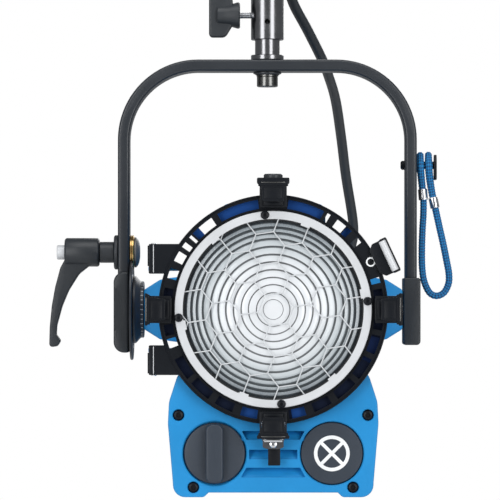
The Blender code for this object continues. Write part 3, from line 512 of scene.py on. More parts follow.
def merged(first, *others):
    """Puts the shapes of other bmeshes into the first."""
    for other in others:
        mesh = bpy.data.meshes.new("merged")
        other.to_mesh(mesh)
        other.free()
        first.from_mesh(mesh)
        bpy.data.meshes.remove(mesh)
    return first


def block(low, high, round_off=0.0, rounds=2):
    """A block between two corners with rounded edges."""
    bm = bmesh.new()
    low = Vector(low)
    high = Vector(high)
    matrix = Matrix.Translation((low + high) / 2) @ Matrix.Diagonal((*(high - low), 1.0))
    bmesh.ops.create_cube(bm, size=1.0, matrix=matrix)
    return eased(bm, round_off, rounds)


def eased(bm, width, rounds=2, angle=30.0):
    """Rounds a shape's sharp edges."""
    if width:
        bmesh.ops.recalc_face_normals(bm, faces=bm.faces)
        sharp = [edge for edge in bm.edges if edge.calc_face_angle(0.0) > math.radians(angle)]
        bmesh.ops.bevel(
            bm, geom=sharp, offset=width, segments=rounds, profile=0.5, affect="EDGES", material=-1,
            clamp_overlap=True,
        )
    return bm


def rod(axis, centre, radius, low, high, steps=32):
    """A cylinder from low to high along an axis."""
    bm = bmesh.new()
    centre = Vector(centre)
    centre["XYZ".index(axis)] = (low + high) / 2
    bmesh.ops.create_cone(
        bm, cap_ends=True, segments=steps, radius1=radius, radius2=radius, depth=high - low,
        matrix=Matrix.Translation(centre) @ along(axis),
    )
    return bm


def turned(axis, centre, profile, steps=64):
    """Spins a profile of (radius, place along the axis) points; one that misses the axis is a ring."""
    shape = bmesh.new()
    verts = [shape.verts.new((point[0], 0.0, point[1])) for point in profile]
    pairs = list(zip(verts, verts[1:]))
    if profile[0][0] > 0.0:
        pairs.append((verts[-1], verts[0]))
    edges = [shape.edges.new(pair) for pair in pairs]
    bmesh.ops.spin(
        shape, geom=verts + edges, cent=(0, 0, 0), axis=(0, 0, 1), angle=math.tau, steps=steps, use_merge=True
    )
    bmesh.ops.remove_doubles(shape, verts=shape.verts, dist=0.0001)
    bmesh.ops.recalc_face_normals(shape, faces=shape.faces)
    bmesh.ops.transform(shape, verts=shape.verts, matrix=Matrix.Translation(centre) @ along(axis))
    return shape


def rounded(corners, steps=6):
    """An outline through (u, v, radius) corners, with an arc at each corner that has a radius."""
    outline = []
    for index, (u, v, radius) in enumerate(corners):
        here = Vector((u, v))
        if radius == 0:
            outline.append(here)
            continue
        before = (Vector(corners[index - 1][:2]) - here).normalized()
        after = (Vector(corners[(index + 1) % len(corners)][:2]) - here).normalized()
        half = before.angle(after) / 2
        centre = here + (before + after).normalized() * radius / math.sin(half)
        start = here + before * radius / math.tan(half) - centre
        end = here + after * radius / math.tan(half) - centre
        first = math.atan2(start.y, start.x)
        sweep = (math.atan2(end.y, end.x) - first + math.pi) % math.tau - math.pi
        for step in range(steps + 1):
            angle = first + sweep * step / steps
            outline.append(centre + Vector((math.cos(angle), math.sin(angle))) * radius)
    return outline


def arc(radius, first, last, steps, centre=(0.0, 0.0)):
    """Points round a circle between two angles in degrees."""
    points = []
    for step in range(steps + 1):
        angle = math.radians(first + (last - first) * step / steps)
        points.append(Vector(centre) + Vector((math.cos(angle), math.sin(angle))) * radius)
    return points


def band(radii, first, last, steps):
    """Outline of a curved strip between two radii and two angles in degrees."""
    inner, outer = radii
    return arc(outer, first, last, steps) + arc(inner, last, first, steps)


def oblong(half_u, half_v, radius, steps=6, centre=(0.0, 0.0)):
    """Outline of a rounded rectangle."""
    u, v = centre
    corners = ((-1, -1), (1, -1), (1, 1), (-1, 1))
    return rounded([(u + a * half_u, v + b * half_v, radius) for a, b in corners], steps)


def dowel(radius, low, high, ease):
    """Profile of a round pin whose ends are chamfered."""
    return [
        (0, low), (radius - ease, low), (radius, low + ease), (radius, high - ease), (radius - ease, high),
        (0, high),
    ]


def polar(radius, degrees):
    """Across and up, for a radius and an angle in degrees."""
    turn = math.radians(degrees)
    return radius * math.cos(turn), radius * math.sin(turn)


def prism(axis, outline, low, high, round_off=0.0, rounds=2):
    """Extrudes an outline from low to high; along X it is (y, z), along Y (x, z), along Z (x, y)."""
    bm = bmesh.new()
    places = {
        "X": lambda u, v: (low, u, v),
        "Y": lambda u, v: (u, low, v),
        "Z": lambda u, v: (u, v, low),
    }
    verts = [bm.verts.new(places[axis](point[0], point[1])) for point in outline]
    face = bm.faces.new(verts)
    grown = bmesh.ops.extrude_face_region(bm, geom=[face], use_keep_orig=True)
    top = [item for item in grown["geom"] if isinstance(item, bmesh.types.BMVert)]
    shift = Vector((0.0, 0.0, 0.0))
    shift["XYZ".index(axis)] = high - low
    bmesh.ops.translate(bm, verts=top, vec=shift)
    return eased(bm, round_off, rounds)


def around(bm, angle):
    """Turns a shape about the lens axis by an angle in degrees."""
    bmesh.ops.rotate(bm, verts=bm.verts, cent=(0, 0, 0), matrix=Matrix.Rotation(math.radians(-angle), 3, "Y"))
    return bm


def moved(bm, matrix):
    """Applies a matrix to a shape."""
    bmesh.ops.transform(bm, verts=bm.verts, matrix=matrix)
    return bm


def placed(name, bm, origin):
    """An object in the scene from a bmesh in millimetres about an origin."""
    bmesh.ops.recalc_face_normals(bm, faces=bm.faces)
    bmesh.ops.translate(bm, verts=bm.verts, vec=origin)
    bmesh.ops.scale(bm, verts=bm.verts, vec=(METRE, METRE, METRE))
    mesh = bpy.data.meshes.new(name)
    bm.to_mesh(mesh)
    bm.free()
    made = bpy.data.objects.new(name, mesh)
    bpy.context.scene.collection.objects.link(made)
    return made


def settled(made):
    """Replaces an object's mesh with what its modifiers make of it."""
    context = bpy.context.evaluated_depsgraph_get()
    mesh = bpy.data.meshes.new_from_object(made.evaluated_get(context))
    made.modifiers.clear()
    made.data = mesh
    return made


def combined(target, operation, bm, origin):
    """Cuts a shape out of the target, or joins it on."""
    operand = placed("operand", bm, origin)
    modifier = target.modifiers.new(operation, "BOOLEAN")
    modifier.operation = operation
    modifier.solver = "EXACT"
    modifier.object = operand
    settled(target)
    bpy.data.objects.remove(operand, do_unlink=True)


def piece(name, bm, look, body, stands_for=(), origin=HEAD, joins=(), cuts=(), sharp=35.0):
    """A finished piece: joined, cut, smoothed, given its finish and put on its body."""
    made = placed(name, bm, origin)
    for extra in joins:
        combined(made, "UNION", extra, origin)
    for cutter in cuts:
        combined(made, "DIFFERENCE", cutter, origin)
    made.data.shade_smooth()
    made.data.set_sharp_from_angle(angle=math.radians(sharp))
    made.data.materials.clear()
    made.data.materials.append(look)
    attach(made, body)
    if stands_for:
        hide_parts(*stands_for)
    return made


def screw_head(place, radius, depth, socket, steps=24):
    """A button head with a hexagon socket, pointing to the front."""
    x, y, z = place
    profile = (
        (0.0, y), (radius, y), (radius, y - depth * 0.35), (radius * 0.82, y - depth * 0.8),
        (socket, y - depth), (socket * 0.96, y - depth * 0.45), (0.0, y - depth * 0.4),
    )
    return turned("Y", (x, 0, z), profile, steps)


def smooth_route(points, spacing):
    """Evenly spaced points on a smooth curve through the given ones."""
    given = [Vector(point) for point in points]
    ends = [given[0] * 2 - given[1]] + given + [given[-1] * 2 - given[-2]]
    dense = []
    for a, b, c, d in zip(ends, ends[1:], ends[2:], ends[3:]):
        for step in range(12):
            t = step / 12
            first = b * 2 + (c - a) * t
            second = (a * 2 - b * 5 + c * 4 - d) * t ** 2
            third = (b * 3 - a - c * 3 + d) * t ** 3
            dense.append((first + second + third) / 2)
    dense.append(given[-1])
    total = sum((q - p).length for p, q in zip(dense, dense[1:]))
    count = max(2, round(total / spacing))
    wanted = [total * step / count for step in range(count + 1)]
    route = []
    travelled = 0.0
    for p, q in zip(dense, dense[1:]):
        length = (q - p).length
        while wanted and wanted[0] <= travelled + length + 1e-7:
            share = (wanted.pop(0) - travelled) / length
            route.append(p.lerp(q, min(1.0, share)))
        travelled += length
    return route, total


def tube(name, route, radius, sides, look, body, height=None):
    """A closed tube along a route; height(turn, along) raises its surface and gives the crown share."""
    bm = bmesh.new()
    crown = bm.verts.layers.float.new("crown")
    spun = bm.verts.layers.float_vector.new("around")
    forward = (route[1] - route[0]).normalized()
    side = forward.orthogonal().normalized()
    travelled = 0.0
    before = None
    for index, place in enumerate(route):
        if index:
            travelled += (place - route[index - 1]).length
            last = route[min(index + 1, len(route) - 1)]
            turned_to = (last - route[index - 1]).normalized()
            side = (forward.rotation_difference(turned_to) @ side).normalized()
            forward = turned_to
        up = forward.cross(side).normalized()
        matrix = Matrix((side, up, forward)).transposed().to_4x4()
        matrix.translation = place
        at_end = index in (0, len(route) - 1)
        ring = bmesh.ops.create_circle(bm, cap_ends=at_end, segments=sides, radius=radius)["verts"]
        for number, vert in enumerate(ring):
            turn = math.tau * number / sides
            lift, share = height(turn, travelled) if height else (0.0, 0.0)
            vert.co = matrix @ (vert.co * (1.0 + lift / radius))
            vert[crown] = share
            vert[spun] = (math.cos(turn), math.sin(turn), travelled / radius)
        edges = list({edge for vert in ring for edge in vert.link_edges})
        if before:
            bmesh.ops.bridge_loops(bm, edges=before + edges)
        before = edges
    bmesh.ops.recalc_face_normals(bm, faces=bm.faces)
    mesh = bpy.data.meshes.new(name)
    bm.to_mesh(mesh)
    bm.free()
    mesh.shade_smooth()
    mesh.set_sharp_from_angle(angle=math.radians(60))
    mesh.materials.append(look)
    made = bpy.data.objects.new(name, mesh)
    bpy.context.scene.collection.objects.link(made)
    if body:
        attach(made, body)
    return made


def spring(name, start, end, radius, wire, turns, look, body, origin=HEAD):
    """A coil spring between two places."""
    start = Vector(start)
    end = Vector(end)
    line = end - start
    side = line.orthogonal().normalized()
    up = line.normalized().cross(side)
    points = []
    steps = turns * 10
    for step in range(steps + 1):
        turn = math.tau * step / 10
        place = start + line * step / steps + (side * math.cos(turn) + up * math.sin(turn)) * radius
        points.append((place + origin) * METRE)
    made = tube(name, points, wire * METRE, 6, look, body)
    return made


# ---------------------------------------------------------------- sizes and colours

class SpotlightSizes(bpy.types.PropertyGroup):
    """Sizes a user may change, in metres."""

    guard_wire: bpy.props.FloatProperty(
        name="Guard wire", description="Diameter of the guard's wires", default=0.00092, unit="LENGTH"
    )
    guard_side: bpy.props.FloatProperty(
        name="Guard mesh", description="Side of the guard's hexagons", default=0.0131, unit="LENGTH"
    )
    jacket_d: bpy.props.FloatProperty(
        name="Power cable", description="Diameter of the power cable", default=CABLE_D, unit="LENGTH"
    )
    rope_d: bpy.props.FloatProperty(
        name="Safety cord", description="Diameter of the safety cord", default=ROPE_D, unit="LENGTH"
    )


class SpotlightColours(bpy.types.PropertyGroup):
    """Colours a user may change."""

    black_paint: bpy.props.FloatVectorProperty(
        name="Black paint", description="Yoke, vent cover, brake disc and latch bracket", subtype="COLOR",
        default=(0.019, 0.023, 0.029)
    )
    blue_paint: bpy.props.FloatVectorProperty(
        name="Blue paint", description="Barrel and base", subtype="COLOR", default=(0.014, 0.245, 0.570)
    )
    slate_plastic: bpy.props.FloatVectorProperty(
        name="Slate plastic", description="Focus knob and badge", subtype="COLOR",
        default=(0.021, 0.031, 0.047)
    )
    lens_tint: bpy.props.FloatVectorProperty(
        name="Lens tint", description="Stipple near the lens rim", subtype="COLOR", default=(0.08, 0.11, 0.14)
    )
    rope_blue: bpy.props.FloatVectorProperty(
        name="Safety cord", description="Crowns of the plait", subtype="COLOR", default=(0.004, 0.225, 0.540)
    )


LOOKS = {}


def prepared(context):
    """Makes the finishes once, and returns the sizes."""
    if not LOOKS:
        LOOKS.update(make_looks(context.scene.spotlight_colours))
    return context.scene.spotlight_sizes


def dress(names, look):
    """Gives CAD nodes that stay in view a finish."""
    for name in names:
        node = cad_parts[name]
        for slot in node.material_slots:
            slot.material = LOOKS[look]


# ---------------------------------------------------------------- stage

def softbox(name, place, size, power):
    """An area light that points at the lamp."""
    light = bpy.data.lights.new(name, "AREA")
    light.shape = "RECTANGLE"
    light.size = size[0]
    light.size_y = size[1]
    light.energy = power
    made = bpy.data.objects.new(name, light)
    made.location = place
    made.rotation_euler = (LIGHT_AIM - Vector(place)).to_track_quat("-Z", "Y").to_euler()
    bpy.context.scene.collection.objects.link(made)


class SPOTLIGHT_OT_stage(bpy.types.Operator):
    """Pale floor, soft light and the camera"""

    bl_idname = "spotlight.stage"
    bl_label = "Stage"
    bl_options = {"REGISTER", "UNDO"}

    def execute(self, context):
        prepared(context)
        floor = bmesh.new()
        bmesh.ops.create_circle(floor, cap_ends=True, segments=96, radius=3200.0)
        stage = placed("studio_floor", floor, Vector((0.0, 0.0, FLOOR_Z * MILLIMETRES)))
        stage.data.materials.append(LOOKS["floor"])

        world = bpy.data.worlds.new("studio")
        world.use_nodes = True
        tree = world.node_tree
        sky = tree.nodes["Background"]
        sky.inputs["Color"].default_value = SKY_COLOUR
        sky.inputs["Strength"].default_value = SKY_STRENGTH
        backdrop = tree.nodes.new("ShaderNodeBackground")
        backdrop.inputs["Color"].default_value = BACKDROP_COLOUR
        backdrop.inputs["Strength"].default_value = 1.0
        path = tree.nodes.new("ShaderNodeLightPath")
        both = tree.nodes.new("ShaderNodeMixShader")
        tree.links.new(path.outputs["Is Camera Ray"], both.inputs[0])
        tree.links.new(sky.outputs[0], both.inputs[1])
        tree.links.new(backdrop.outputs[0], both.inputs[2])
        tree.links.new(both.outputs[0], tree.nodes["World Output"].inputs["Surface"])
        bpy.context.scene.world = world
        bpy.context.scene.view_settings.view_transform = "Standard"

        for name, place, size, power in SOFTBOXES:
            softbox(name, place, size, power)

        lens = bpy.data.cameras.new("camera")
        lens.lens = CAMERA_LENS
        lens.sensor_width = 36.0
        lens.shift_x, lens.shift_y = CAMERA_SHIFT
        camera = bpy.data.objects.new("camera", lens)
        camera.location = (LENS_X * METRE, -CAMERA_DISTANCE, TILT_Z * METRE)
        camera.rotation_euler = (math.pi / 2, 0.0, 0.0)
        bpy.context.scene.collection.objects.link(camera)
        bpy.context.scene.camera = camera
        return {"FINISHED"}


# ---------------------------------------------------------------- cords

def coil_points():
    """Turns of the cable; the strand rolls a quarter way round its two by two stack in each turn."""
    points = []
    for turn in range(0, int(COIL_SWEEP) + 1, 15):
        lap, rest = divmod(turn, 360)
        share = max(0.0, (rest - 240) / 120)
        share = share * share * (3 - 2 * share)
        stack = math.radians(-45 - 90 * (lap + share))
        radius = COIL_MEAN_R + COIL_OFFSET * math.sqrt(2) * math.cos(stack)
        across = COIL_OFFSET * math.sqrt(2) * math.sin(stack)
        angle = math.radians(COIL_START - turn)
        points.append(COIL_CENTRE + Vector((math.cos(angle) * radius, across, math.sin(angle) * radius)))
    return points


class SPOTLIGHT_OT_power_cable(bpy.types.Operator):
    """Power cable from the gland through its coil to the plug"""

    bl_idname = "spotlight.power_cable"
    bl_label = "Power cable"
    bl_options = {"REGISTER", "UNDO"}

    def execute(self, context):
        sizes = prepared(context)
        route, length = smooth_route(list(CABLE_OUT) + coil_points() + list(CABLE_UP), 0.0035)
        cable = tube("power_cable", route, sizes.jacket_d / 2, 16, LOOKS["jacket"], None)
        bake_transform(cable)
        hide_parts("cable_tail", "cable_loop", "cable_coil", "cable_run")
        ties = [self.tie("coil_tie_left", 200.0), self.tie("coil_tie_right", 65.0)]
        strap = self.strap()
        plug = self.plug()
        self.gland()
        return {"FINISHED"}

    def gland(self):
        """Lock nut on the rear panel and the tapered, ringed strain relief."""
        nut = turned("Y", GLAND, [(0, 103.4), (10.0, 103.4), (10.0, 106.8), (9.2, 107.6), (0, 107.6)], 6)
        profile = [(0.0, 106.0), (8.3, 106.0)]
        for ring in range(6):
            y = 108.4 + ring * 2.9
            radius = 8.0 - ring * 0.5
            profile += [(radius, y), (radius, y + 1.7), (radius - 0.9, y + 2.1), (radius - 0.9, y + 2.7)]
        profile += [(5.0, 126.3), (0.0, 126.3)]
        piece(
            "cable_gland_relief", eased(nut, 0.4, 2), LOOKS["rubber"], "head", ["cable_gland"],
            joins=[turned("Y", GLAND, profile, 40)],
            cuts=[rod("Y", GLAND, 4.25, 100, 130, 32)],
        )

    def tie(self, name, angle):
        """Strap round the four strands of the coil, with its loose end."""
        turn = Matrix.Rotation(math.radians(-angle), 4, "Y")
        place = Matrix.Translation(COIL_CENTRE * MILLIMETRES) @ turn
        place = place @ Matrix.Translation((COIL_MEAN_R * MILLIMETRES, 0.0, 0.0))
        wrap = moved(prism("Z", oblong(9.6, 9.6, 4), -5.0, 5.0, 0.3, 1), place)
        hole = moved(prism("Z", oblong(8.6, 8.6, 3.4), -6.0, 6.0), place)
        tab = moved(block((-4.0, -11.6, -5.0), (12.0, -9.4, 5.0), 0.6), place)
        made = piece(name, wrap, LOOKS["plastic"], "yoke", origin=Vector(), joins=[tab], cuts=[hole])
        return made

    def strap(self):
        """Strap that holds the cable to the receptacle."""
        outer = rounded(((-14.2, -14.2, 14.1), (23.0, -14.2, 6), (23.0, 18.6, 6), (-14.2, 18.6, 14.1)), 8)
        wrap = prism("Z", outer, 243.2, 247.8, 0.3, 1)
        return piece(
            "cable_strap", wrap, LOOKS["plastic"], "yoke", origin=HANGING,
            cuts=[rod("Z", (0, 0, 0), 12.9, 240, 250, 48), rod("Z", (16.9, 11.6, 0), 4.3, 240, 250, 24)],
        )

    def plug(self):
        """Moulded plug with a waisted grip, and its two round pins."""
        x, y, top = PLUG_TOP
        profile = [(0.0, 0.0), (5.0, 0.0)]
        for ring in range(4):
            z = 1.2 + ring * 2.6
            profile += [(5.4 + ring * 0.6, z), (5.4 + ring * 0.6, z + 1.5), (4.8 + ring * 0.6, z + 1.9)]
        profile += [(8.0, 12.4), (12.6, 16.0), (15.0, 19.0), (15.5, 21.0), (14.6, 26.0), (15.5, 31.0)]
        profile += [(15.5, 34.6), (14.9, 35.7), (13.8, 36.0), (0.0, 36.0)]
        body = turned("Z", (x, y, 0), [(radius, top - place) for radius, place in profile], 48)
        made = piece(
            "power_plug", body, LOOKS["rubber"], "yoke", ["plug"], HANGING,
            cuts=[rod("Z", (x, y, 0), 4.15, top - 4.5, top + 5, 32)], sharp=40,
        )
        low = top - 36.0
        pin = [(0.0, low + 1.0), (2.0, low + 1.0), (2.0, low - 10.6), (1.2, low - 11.8), (0.0, low - 11.8)]
        pins = [turned("Z", (x + side * 6.5, y, 0), pin, 20) for side in (-1, 1)]
        prongs = piece("plug_pins", merged(*pins), LOOKS["brass"], "yoke", origin=HANGING)
        return made, prongs


class SPOTLIGHT_OT_safety_cord(bpy.types.Operator):
    """Plaited safety cord with its two ferrules"""

    bl_idname = "spotlight.safety_cord"
    bl_label = "Safety cord"
    bl_options = {"REGISTER", "UNDO"}

    def execute(self, context):
        sizes = prepared(context)
        route, length = smooth_route(ROPE_ROUTE, 0.00055)

        def plait(turn, travelled):
            along_cord = travelled * 1450.0
            crown = 0.5 + 0.5 * math.sin(4 * turn + along_cord) * math.sin(4 * turn - along_cord)
            return (crown - 0.4) * 0.00055, crown

        rope = tube("safety_rope", route, sizes.rope_d / 2, 32, LOOKS["rope"], "yoke", plait)
        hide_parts("safety_cord")
        ferrules = [
            self.ferrule("crimped_ferrule_inner", "ferrule_inner", (118.68, 0.0, 87.7), 0.08),
            self.ferrule("crimped_ferrule_outer", "ferrule_outer", (127.1, 0.0, 81.5), 0.2),
        ]
        [tuple(place) for place in route[::8]] + [tuple(route[-1])]
        return {"FINISHED"}

    def ferrule(self, name, node, centre, lean):
        """Pressed sleeve with a bore for each strand."""
        outer = oblong(3.4, 6.4, 3.3, 8)
        place = Matrix.Translation(centre) @ Matrix.Rotation(-lean, 4, "Y")
        sleeve = moved(prism("Z", outer, -4.2, 4.2, 0.5, 3), place)
        bores = [moved(rod("Z", (0, side * 2.95, 0), 2.75, -6, 6, 32), place) for side in (-1, 1)]
        return piece(name, sleeve, LOOKS["bright"], "yoke", [node], HANGING, cuts=bores)


# ---------------------------------------------------------------- yoke

class SPOTLIGHT_OT_yoke(bpy.types.Operator):
    """Yoke bar, the caps on its ends and the hook on its right arm"""

    bl_idname = "spotlight.yoke"
    bl_label = "Yoke"
    bl_options = {"REGISTER", "UNDO"}

    def execute(self, context):
        prepared(context)
        outside = YOKE_HALF_WIDTH
        inside = YOKE_HALF_WIDTH - YOKE_BAR
        bend = YOKE_BEND - YOKE_BAR
        low = YOKE_TOP - YOKE_BAR
        corners = (
            (-outside, YOKE_BOTTOM, 0), (-outside, YOKE_TOP, YOKE_BEND), (outside, YOKE_TOP, YOKE_BEND),
            (outside, YOKE_BOTTOM, 0), (inside, YOKE_BOTTOM, 0), (inside, low, bend), (-inside, low, bend),
            (-inside, YOKE_BOTTOM, 0),
        )
        half = YOKE_DEPTH / 2
        bar = prism("Y", rounded(corners, 22), -half, half, 2.0, 4)
        holes = [
            rod("X", (0, 0, 0), PIVOT_R + GAP, -120, -100), rod("X", (0, 0, 0), PIVOT_R + GAP, 100, 120),
            rod("X", (0, 0, CLAMP_Z), 3.3, -120, -100), rod("X", (0, 0, HOOK_Z), 2.3, 100, 120),
            rod("Z", (0, 0, 0), 6.3, 175, 195),
        ]
        piece("yoke_bar", bar, LOOKS["black"], "yoke", ["yoke"], HANGING, cuts=holes)
        self.caps()
        self.hook()
        return {"FINISHED"}

    def caps(self):
        """Moulded caps on the ends of the arms, and the pivot pins in them."""
        inside = YOKE_HALF_WIDTH - YOKE_BAR
        pocket = ((inside - 0.4, -15, YOKE_BOTTOM - 0.4), (YOKE_HALF_WIDTH + 0.4, 15, 40))
        corners = ((103.25, -27, 2), (116.25, -27, 3), (116.25, 24, 2), (103.25, 24, 1))
        right = prism("Y", rounded(corners, 5), -18, 18)
        piece(
            "arm_cap_right", eased(right, 1.6, 3), LOOKS["plastic"], "yoke", ["yoke_cap_right"],
            HANGING, cuts=[block(*pocket), rod("X", (0, 0, 0), 8, 100, 108)],
        )
        corners = ((-105.2, -32.8, 0), (-116.65, -32.8, 8), (-116.65, 28.6, 8), (-105.2, 28.6, 0))
        left = prism("Y", rounded(corners, 8), -18.5, 18.5)
        pocket = ((-YOKE_HALF_WIDTH - 0.4, -15, YOKE_BOTTOM - 0.4), (-90, 15, 40))
        facet = rod("Y", (-131.3, 0, 0.2), 22.7, -20.0, -17.6, 96)
        piece(
            "arm_cap_left", eased(left, 1.6, 3), LOOKS["plastic"], "yoke", ["yoke_cap_left"],
            HANGING, cuts=[block(*pocket), facet],
        )
        for name, node, low, high in (
            ("pivot_pin_left", "pivot_bolt_left", -113.3, -80.0),
            ("pivot_pin_right", "pivot_bolt_right", 88.0, 113.3),
        ):
            pin = turned("X", (0, 0, 0), dowel(PIVOT_R, low, high, 0.8), 40)
            piece(name, pin, LOOKS["steel"], "yoke", [node], HANGING)

    def hook(self):
        """Plate and post for the safety cord, held by a screw through the arm."""
        outside = YOKE_HALF_WIDTH + GAP
        corners = ((-8, 98.8, 3), (8, 98.8, 3), (8, 112.0, 6), (4, 118.0, 3), (-4, 118.0, 3), (-8, 112.0, 6))
        plate = prism("X", rounded(corners, 6), 127.0, 129.0, 0.4, 2)
        post = rod("X", (0, 0, HOOK_Z), 3.0, outside, 127.6, 32)
        rim = [(2.4, outside), (5.4, outside), (5.4, outside + 0.5), (2.4, outside + 0.5)]
        flange = turned("X", (0, 0, HOOK_Z), rim)
        piece(
            "cord_hook", plate, LOOKS["deep"], "yoke", ["safety_hook"], HANGING,
            joins=[post, flange], cuts=[rod("X", (0, 0, HOOK_Z), 2.2, 110, 122, 24)],
        )
        screw = [
            (0.0, 102.4), (1.4, 102.4), (1.6, 101.6), (2.4, 101.6), (3.5, 102.6), (3.5, 104.5), (2.0, 104.5),
            (2.0, 121.0), (0.0, 121.0),
        ]
        piece(
            "cord_hook_screw", turned("X", (0, 0, HOOK_Z), screw, 32), LOOKS["deep"], "yoke",
            ["safety_hook_screw"], HANGING,
        )


class SPOTLIGHT_OT_receptacle(bpy.types.Operator):
    """Receptacle for the stud, its washer and nut, and the knob that locks it"""

    bl_idname = "spotlight.receptacle"
    bl_label = "Receptacle and T-knob"
    bl_options = {"REGISTER", "UNDO"}

    def execute(self, context):
        prepared(context)
        seat = YOKE_TOP + GAP
        profile = (
            (0.0, 170.0), (5.2, 170.0), (6.0, 170.8), (6.0, seat), (12.1, seat), (12.5, seat + 0.4),
            (12.5, 193.6), (12.1, 194.0), (9.4, 194.0), (9.4, 205.5), (12.0, 205.5), (12.5, 206.0),
            (12.5, 249.4), (11.9, 250.0), (9.0, 250.0), (8.1, 249.0), (8.1, 212.0), (0.0, 212.0),
        )
        piece(
            "stud_socket", turned("Z", (0, 0, 0), profile, 96), LOOKS["chrome"], "yoke", ["stud_receptacle"],
            HANGING, cuts=[
                rod("X", (0, 0, T_KNOB_Z), 2.8, -20, -1, 32),
                rod("Y", (0, 0, 218.9), 2.1, -20, -4, 32),
            ],
        )
        under = YOKE_TOP - YOKE_BAR - GAP
        washer = [
            (6.4, under - 2.0), (9.2, under - 2.0), (9.4, under - 1.3), (10.4, under - 1.3),
            (10.7, under - 1.0), (10.7, under - 0.2), (10.5, under), (6.4, under),
        ]
        piece(
            "socket_washer", turned("Z", (0, 0, 0), washer, 64), LOOKS["black"], "yoke",
            ["receptacle_washer"], HANGING,
        )
        top = under - 2.3
        nut = [
            (6.4, top - 8.8), (7.4, top - 8.8), (8.0, top - 8.2), (8.0, top - 1.4), (7.7, top - 1.1),
            (8.4, top - 0.8), (8.4, top), (6.4, top),
        ]
        piece(
            "socket_nut", turned("Z", (0, 0, 0), nut, 64), LOOKS["dark_steel"], "yoke", ["receptacle_nut"],
            HANGING,
        )
        corners = (
            (-44.5, 207.5, 3), (-32.0, 207.5, 5), (-26.3, 217.0, 2), (-26.3, 236.0, 3), (-31.0, 241.0, 3),
            (-44.5, 241.0, 3),
        )
        wing = prism("Y", rounded(corners, 6), -4.5, 4.5, 1.6, 4)
        hub = [
            (0.0, -38.5), (7.0, -38.5), (7.6, -37.8), (8.0, -30.0), (10.0, -22.9), (10.0, -21.6),
            (9.2, -20.85), (3.0, -20.85), (3.0, -22.0), (0.0, -22.0),
        ]
        piece(
            "lock_knob", wing, LOOKS["plastic"], "t_knob", ["t_knob"], HANGING,
            joins=[turned("X", (0, 0, T_KNOB_Z), hub, 56)],
        )
        screw = [(0.0, -21.9), (2.45, -21.9)]
        for thread in range(14):
            x = -20.6 + thread * 0.86
            screw += [(2.5, x), (2.1, x + 0.43)]
        screw += [(2.0, -8.4), (0.0, -8.4)]
        piece(
            "lock_screw", turned("X", (0, 0, T_KNOB_Z), screw, 28), LOOKS["bright"], "t_knob",
            ["t_knob_screw"], HANGING,
        )
        return {"FINISHED"}


